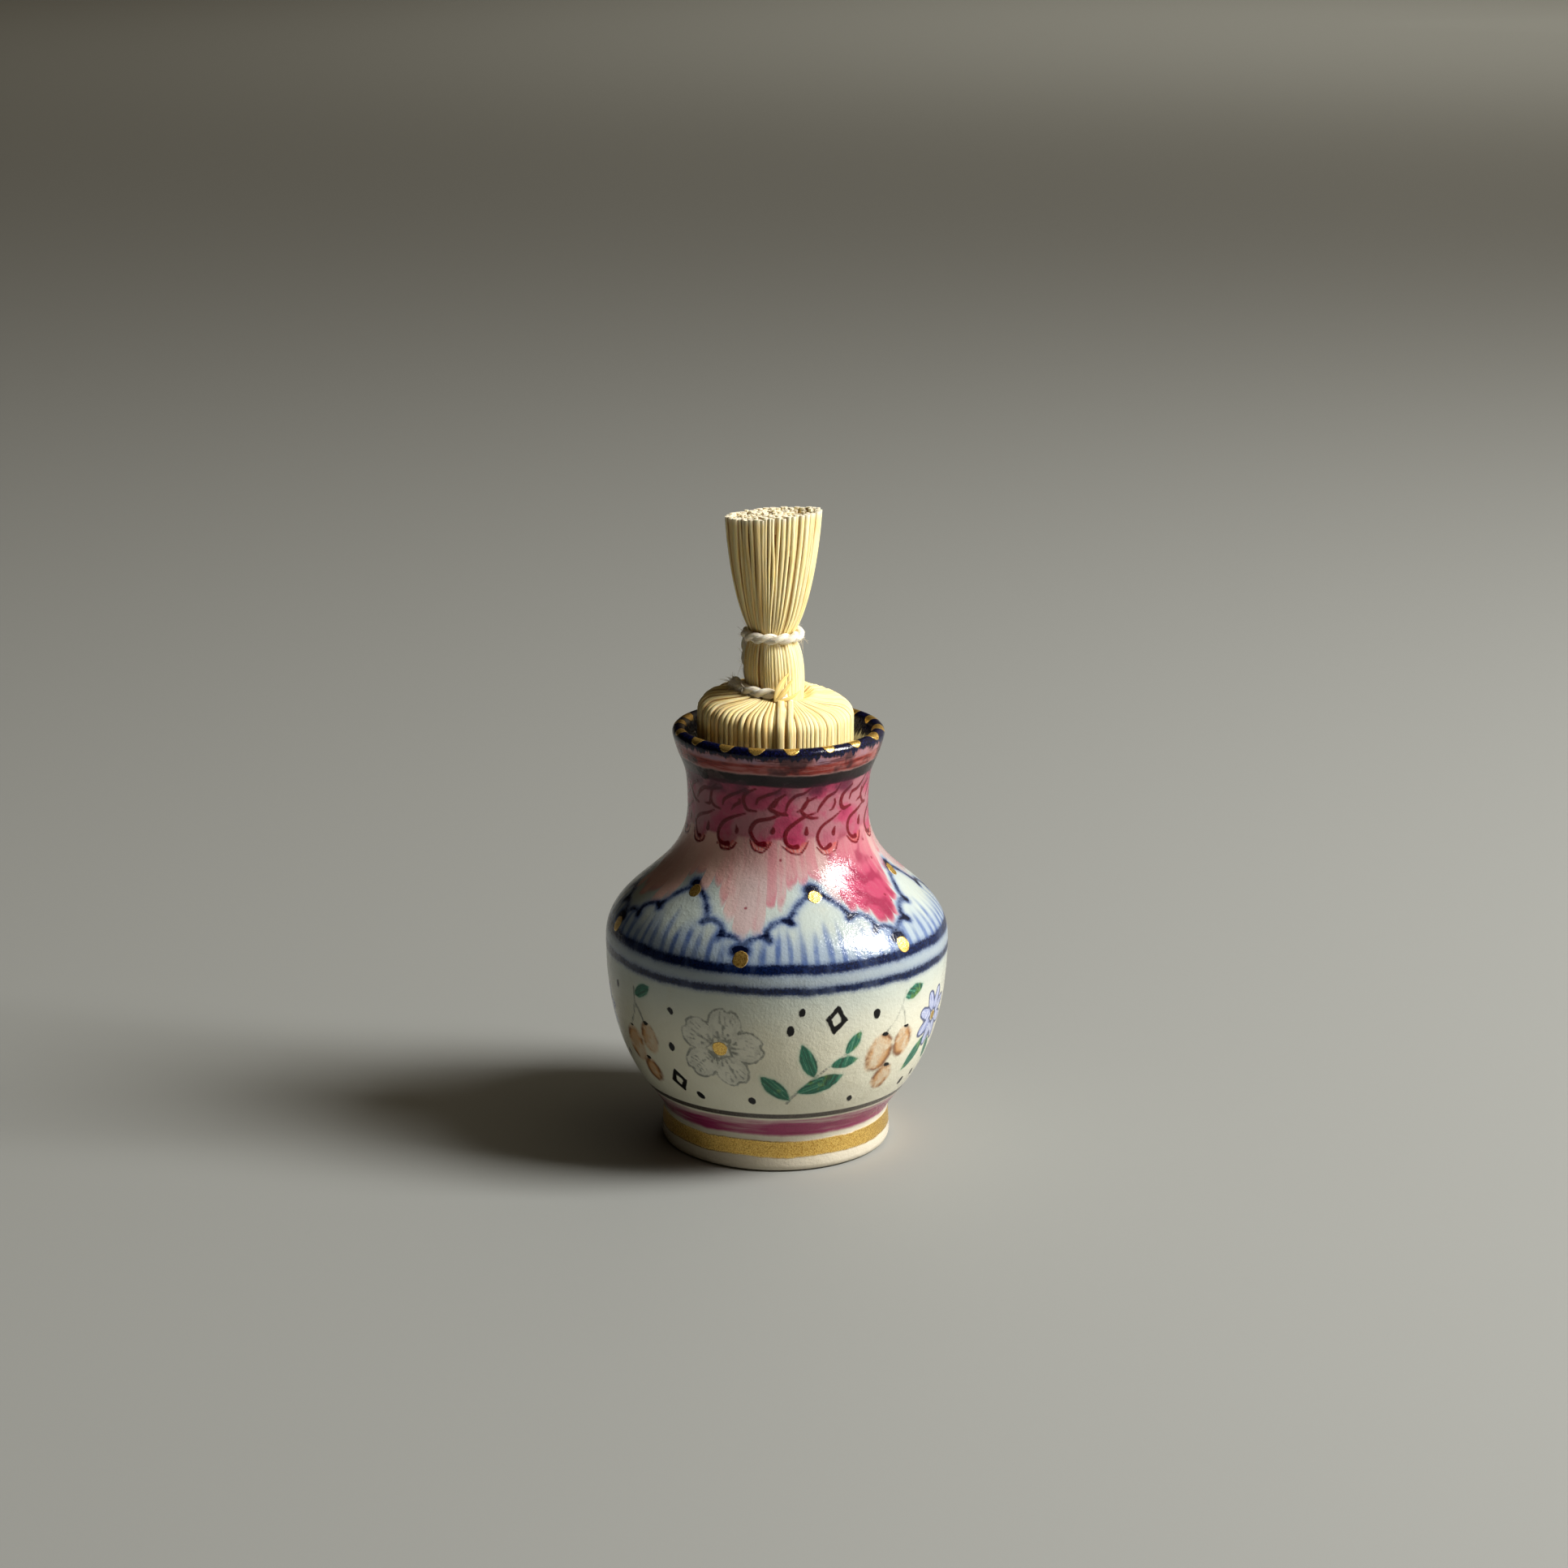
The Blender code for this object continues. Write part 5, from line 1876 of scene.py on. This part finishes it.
@dataclass(frozen=True)
class TwineFinish:
    """Off-white cotton: pale plies with shaded grooves and fine hairs along them."""

    pale: tuple = srgb(250, 244, 230)
    shade: tuple = srgb(236, 223, 196)

    def material(self) -> bpy.types.Material:
        """Builds the finish from the place across and along each ply."""
        board = NodeBoard("cotton_plies")
        across, along, tone = board.split(board.layer_vector("fibre"))
        fine = board.noise(board.join(across * 6.0 + along * 2.2, along * 0.5, tone * 9.0), 1.8, 4.0, 0.7)
        colour = board.mix(board.ramp(fine, 0.32, 0.62), self.shade, self.pale)
        return board.finish(
            {
                "Base Color": colour,
                "Roughness": 0.85,
                "Normal": board.bump(fine, 0.09),
                "Subsurface Weight": 0.4,
                "Subsurface Radius": (1.0, 0.8, 0.5),
                "Subsurface Scale": 1.0 * MM,
                "Sheen Weight": 0.35,
                "Sheen Roughness": 0.4,
                "Specular IOR Level": 0.2,
            }
        )


class Twine:
    """The twine: two twisted plies along the CAD cord's route, with loose hairs."""

    NODE = "twine"
    RADIUS = 0.7
    GAP = 0.12
    PLY_RADIUS = 0.54
    PLY_OFFSET = 0.31
    PITCH = 4.4
    TAIL_ANGLE = 32.0
    TAIL_REACH = 1.3
    START_ANGLE = 196.0
    LOWER_TURN = 300.0
    CLIMB_TURN = 12.0
    UPPER_TURN = 330.0
    SINK = 2.4
    SINK_ANGLE = 278.0
    HAIRS = 1150
    SIDE_HAIRS = 420

    def __init__(self, form: StopperForm) -> None:
        """Keeps the stopper's form and starts the seeded source of chance."""
        self.form = form
        self.rng = np.random.default_rng(SEED + 2)
        self.material = TwineFinish().material()

    def reach(self, height: Array) -> Array:
        """How far the cord's middle stands from the stem's, clear of the strands above and below."""
        off = self.GAP + self.RADIUS
        lean = np.radians(np.arange(-75, 76, 15))[:, None]
        return (self.form.stem_radius(height[None, :] + off * np.sin(lean)) + off * np.cos(lean)).max(axis=0)

    def route(self) -> Array:
        """The cord's middle line: the loose end, the lower turn, the climb behind and the upper turn.

        Returns:
            Smooth points, n by 3. Each stretch moves the angle, the reach and the height evenly.
        """
        form = self.form
        low = form.disc_top - 0.25 + self.RADIUS
        low_reach = float(self.reach(np.array([form.knob_foot + 1.2]))[0])
        top_reach = float(self.reach(np.array([form.waist]))[0])
        tail = np.linspace(1, 0, 12)[:-1]
        lower = np.linspace(0, 1, 90)
        climb = np.linspace(0, 1, 24)[1:-1]
        upper = np.linspace(0, 1, 80)
        climb_start = self.START_ANGLE + self.LOWER_TURN
        angle = np.concatenate(
            [
                self.START_ANGLE - self.TAIL_ANGLE * tail,
                self.START_ANGLE + self.LOWER_TURN * lower,
                climb_start + self.CLIMB_TURN * climb,
                climb_start + self.CLIMB_TURN + self.UPPER_TURN * upper,
            ]
        )
        lower_angle = self.START_ANGLE + self.LOWER_TURN * lower
        sinking = np.clip((lower_angle - self.SINK_ANGLE) / 22.0, 0, 1)
        sink = sinking * np.clip((470.0 - lower_angle) / 25.0, 0, 1)
        rise = low + (form.waist - low) * climb
        height = np.concatenate(
            [low + 0.3 * np.sin(np.pi / 2 * tail), low - self.SINK * sink, rise, np.full(80, form.waist)]
        )
        reach = np.concatenate(
            [
                low_reach + self.TAIL_REACH * tail,
                np.full(90, low_reach),
                self.reach(rise),
                np.full(80, top_reach),
            ]
        )
        turn = np.radians(angle)
        middle = form.stem_middle(height)
        line = np.stack([middle + reach * np.cos(turn), reach * np.sin(turn), height], axis=1)
        even = resample(line, np.linspace(0, arc_length(line)[-1], 420))
        kernel = np.hanning(15)
        kernel /= kernel.sum()
        padded = np.concatenate([np.repeat(even[:1], 7, 0), even, np.repeat(even[-1:], 7, 0)])
        return np.stack([np.convolve(padded[:, k], kernel, "valid") for k in range(3)], axis=1)

    def frames(self, line: Array) -> tuple[Array, Array]:
        """Two directions square to the line at each point, from the way out of the stem's middle."""
        along = np.gradient(line, axis=0)
        along /= np.linalg.norm(along, axis=1, keepdims=True)
        out = line - np.stack([self.form.stem_middle(line[:, 2]), np.zeros(len(line)), line[:, 2]], axis=1)
        side = np.cross(along, out)
        side /= np.linalg.norm(side, axis=1, keepdims=True)
        return side, np.cross(side, along)

    def build(self) -> list:
        """Builds the plies and their hairs."""
        line = self.route()
        side, out = self.frames(line)
        run = arc_length(line)
        twist = 2 * np.pi * run / self.PITCH
        plies = []
        for k in range(2):
            turn = twist + np.pi * k
            offset = self.PLY_OFFSET * (np.cos(turn)[:, None] * side + np.sin(turn)[:, None] * out)
            plies.append(line + offset)
        middle = np.stack(plies)
        builder = StrandBuilder(10)
        swell = 1 + 0.06 * smooth_waves(self.rng, 2, run / run[-1])
        wide = np.full(middle.shape[:2], self.PLY_RADIUS) * swell
        wide = wide * (1 + 0.3 * np.exp(-((run / 7.0) ** 2)))
        taper = np.clip(np.minimum(run, run[-1] - run) / 0.5, 0.35, 1)
        wide = wide * taper
        sides = np.stack([side, side])
        outs = np.stack([out, out])
        rings = builder.rings(middle, sides, outs, wide, wide)
        plain = builder.piece("twine_plies", rings, wide, np.array([0.2, 0.7]), np.zeros(wide.shape))
        return [self.dress(plain), self.dress(self.hairs(line, side, out))]

    def dress(self, piece: bpy.types.Object) -> bpy.types.Object:
        """Gives a piece the twine finish."""
        return stand_for(piece, self.NODE, self.material)

    def fray(self) -> tuple[Array, Array, Array]:
        """Roots and ways of the fuzz up the knob's left side: on its surface, mostly up or down along it.

        Returns:
            Origins, outward ways and lengthwise ways, each n by 3.
        """
        rng, count = self.rng, self.SIDE_HAIRS
        turn = np.radians(rng.uniform(160, 206, count))
        height = rng.uniform(self.form.disc_top + 0.6, self.form.waist - 0.2, count)
        out = np.stack([np.cos(turn), np.sin(turn), np.zeros(count)], axis=1)
        middle = np.stack([self.form.stem_middle(height), np.zeros(count), height], axis=1)
        origin = middle + (self.form.stem_radius(height) - 0.25)[:, None] * out
        upright = np.array([0.0, 0.0, 1.0]) + 0.35 * rng.normal(size=(count, 3))
        return origin, out * rng.uniform(0.1, 0.5, (count, 1)), upright

    def hairs(self, line: Array, side: Array, out: Array) -> bpy.types.Object:
        """Fine curved hairs that stand off the cord, thinning to their tips.

        Args:
            line: the cord's middle line.
            side, out: directions square to it.

        Returns:
            The piece. Each hair's middle is a root on the cord plus a bent outward path.
        """
        rng, count = self.rng, self.HAIRS
        shown = np.flatnonzero(line[:, 2] > self.form.disc_top)[2:-2]
        root = rng.choice(shown, count)
        loose = rng.integers(0, 36, count // 3)
        root[: len(loose)] = loose + 1
        turn = rng.uniform(0, 2 * np.pi, count)
        away = np.cos(turn)[:, None] * side[root] + np.sin(turn)[:, None] * out[root]
        inward = (away * out[root]).sum(axis=1)
        away += np.where(inward < -0.2, 1.2, 0.0)[:, None] * out[root]
        away /= np.linalg.norm(away, axis=1, keepdims=True)
        along = np.gradient(line, axis=0)[root]
        along /= np.linalg.norm(along, axis=1, keepdims=True)
        origin, side_only = line[root], slice(count - self.SIDE_HAIRS, count)
        origin[side_only], away[side_only], along[side_only] = self.fray()
        places = np.linspace(0, 1, 6)
        length = rng.uniform(0.4, 1.15, count)[:, None, None]
        lean = rng.normal(0, 1.0, count)[:, None, None]
        curl = rng.normal(0, 0.5, (count, 1, 3))
        t = places[None, :, None]
        middle = (
            origin[:, None, :]
            + away[:, None, :] * (0.55 * self.RADIUS + length * 0.75 * t)
            + along[:, None, :] * lean * length * t
            + curl * length * t**2
        )
        middle[..., 2] -= 0.25 * length[..., 0] * places**2
        floor = self.form.disc_top + 0.1
        below = middle[..., 2] < floor
        middle[..., 2] = np.where(below, floor + 0.1 * (middle[..., 2] - floor), middle[..., 2])
        sides = np.broadcast_to(along[:, None, :], middle.shape)
        outs = np.cross(sides, away[:, None, :])
        wide = np.broadcast_to(0.045 * (1 - 0.7 * places)[None, :], middle.shape[:2])
        builder = StrandBuilder(3)
        rings = builder.rings(middle, np.broadcast_to(away[:, None, :], middle.shape), outs, wide, wide)
        tone = rng.uniform(0, 1, count)
        return builder.piece("twine_hairs", rings, wide, tone, np.zeros(wide.shape))


@dataclass(frozen=True)
class Studio:
    """The stage: a pale floor, a window-like light from the right, a soft fill and the camera."""

    floor_radius: float = 9.0
    floor_colour: tuple = srgb(154, 156, 154)
    key_azimuth: float = 79.5
    key_elevation: float = 40.0
    key_distance: float = 1.15
    key_size: tuple = (0.43, 0.56)
    key_power: float = 18.8
    key_colour: tuple = (1.0, 0.985, 0.955)
    fill_colour: tuple = (0.98, 0.99, 1.0)
    fill_warm: tuple = (1.0, 0.76, 0.42)
    fill_way: tuple = (1.0, 0.0, 0.1)
    fill_dim: float = 0.01
    fill_bright: float = 0.5
    far_place: tuple = (1.4, 4.6, 1.5)
    far_size: tuple = (3.0, 4.6)
    far_power: float = 40.0
    far_colour: tuple = (1.0, 0.97, 0.88)
    camera_place: tuple = (0.0009, -0.474, 0.186)
    camera_down: float = 15.35
    camera_roll: float = 0.45
    lens: float = 74.53

    def build(self) -> None:
        """Makes the floor, the lights and the camera."""
        self.floor()
        self.key()
        self.far_light()
        self.fill()
        self.camera()

    def floor(self) -> None:
        """A plain disc at the foot's level, out past the camera's view."""
        columns, rows = 64, 3
        turn = 2 * np.pi * np.arange(columns) / columns
        reach = self.floor_radius * np.array([0.1, 0.4, 1.0]) / MM
        x, y = reach[:, None] * np.cos(turn), reach[:, None] * np.sin(turn)
        grid = np.stack([x, y, np.zeros_like(x)], axis=-1).reshape(-1, 3)
        points = np.concatenate([[[0.0, 0.0, 0.0]], grid])
        ring = np.arange(columns)
        after = (ring + 1) % columns
        start = 1 + columns * np.arange(rows - 1)[:, None]
        outside = start + columns
        quads = np.stack([start + ring, outside + ring, outside + after, start + after], axis=-1)
        fan = np.stack([np.zeros_like(ring), 1 + ring, 1 + after], axis=-1)
        mesh = bpy.data.meshes.new("floor")
        mesh.from_pydata(points * MM, [], quads.reshape(-1, 4).tolist() + fan.tolist())
        made = bpy.data.objects.new("floor", mesh)
        bpy.context.scene.collection.objects.link(made)
        board = NodeBoard("floor")
        made.data.materials.append(board.finish({"Base Color": self.floor_colour, "Roughness": 0.75}))

    def key(self) -> None:
        """The window: one soft rectangle, turned towards the bottle."""
        azimuth, elevation = math.radians(self.key_azimuth), math.radians(self.key_elevation)
        away = Matrix.Rotation(azimuth, 4, "Z") @ Matrix.Rotation(math.pi / 2 - elevation, 4, "X")
        light = bpy.data.lights.new("window", "AREA")
        light.shape = "RECTANGLE"
        light.size, light.size_y = self.key_size
        light.energy = self.key_power
        light.color = self.key_colour
        made = bpy.data.objects.new("window", light)
        target, back = Matrix.Translation((0, 0, 0.045)), Matrix.Translation((0, 0, self.key_distance))
        made.matrix_world = target @ away @ back
        bpy.context.scene.collection.objects.link(made)

    def far_light(self) -> None:
        """A wide and weak light that hangs over the floor far behind the bottle."""
        light = bpy.data.lights.new("far_floor", "AREA")
        light.shape = "RECTANGLE"
        light.size, light.size_y = self.far_size
        light.energy = self.far_power
        light.color = self.far_colour
        made = bpy.data.objects.new("far_floor", light)
        made.matrix_world = Matrix.Translation(self.far_place)
        made.visible_camera = False
        made.visible_glossy = False
        bpy.context.scene.collection.objects.link(made)

    def fill(self) -> None:
        """The room: dim on the left, and brighter towards the window's side and overhead."""
        world = bpy.data.worlds.new("surround")
        world.use_nodes = True
        nodes, links = world.node_tree.nodes, world.node_tree.links
        background = nodes["Background"]
        kinds = ("TexCoord", "VectorMath", "MapRange", "Mix")
        place, share, ramp, tint = (nodes.new(f"ShaderNode{kind}") for kind in kinds)
        share.operation = "DOT_PRODUCT"
        share.inputs[1].default_value = self.fill_way
        tint.data_type = "RGBA"
        tint.inputs[6].default_value = (*self.fill_warm, 1.0)
        tint.inputs[7].default_value = (*self.fill_colour, 1.0)
        ramp.interpolation_type = "SMOOTHSTEP"
        for key, value in (("From Min", -0.15), ("From Max", 1.0), ("To Min", self.fill_dim)):
            ramp.inputs[key].default_value = value
        ramp.inputs["To Max"].default_value = self.fill_bright
        links.new(place.outputs["Generated"], share.inputs[0])
        links.new(share.outputs["Value"], ramp.inputs["Value"])
        links.new(ramp.outputs[0], background.inputs[1])
        links.new(ramp.outputs[0], tint.inputs[0])
        links.new(tint.outputs[2], background.inputs[0])
        bpy.context.scene.world = world

    def camera(self) -> None:
        """The photograph's view: from the front, a little above, tipped by a hair."""
        data = bpy.data.cameras.new("camera")
        data.lens = self.lens
        data.sensor_width = 36.0
        data.clip_start, data.clip_end = 0.01, 60.0
        made = bpy.data.objects.new("camera", data)
        look = Matrix.Rotation(math.radians(90.0 - self.camera_down), 4, "X")
        roll = Matrix.Rotation(math.radians(self.camera_roll), 4, "Z")
        made.matrix_world = Matrix.Translation(self.camera_place) @ look @ roll
        bpy.context.scene.collection.objects.link(made)
        bpy.context.scene.camera = made
        bpy.context.scene.view_settings.view_transform = "Standard"
        bpy.context.scene.view_settings.look = "Medium High Contrast"


def main() -> None:
    logging.basicConfig(level=logging.INFO, format="%(name)s: %(message)s")
    Studio().build()
    Bottle().build()
    stopper = Stopper()
    stopper.build()
    Twine(stopper.form).build()


if __name__ == "__main__":
    main()
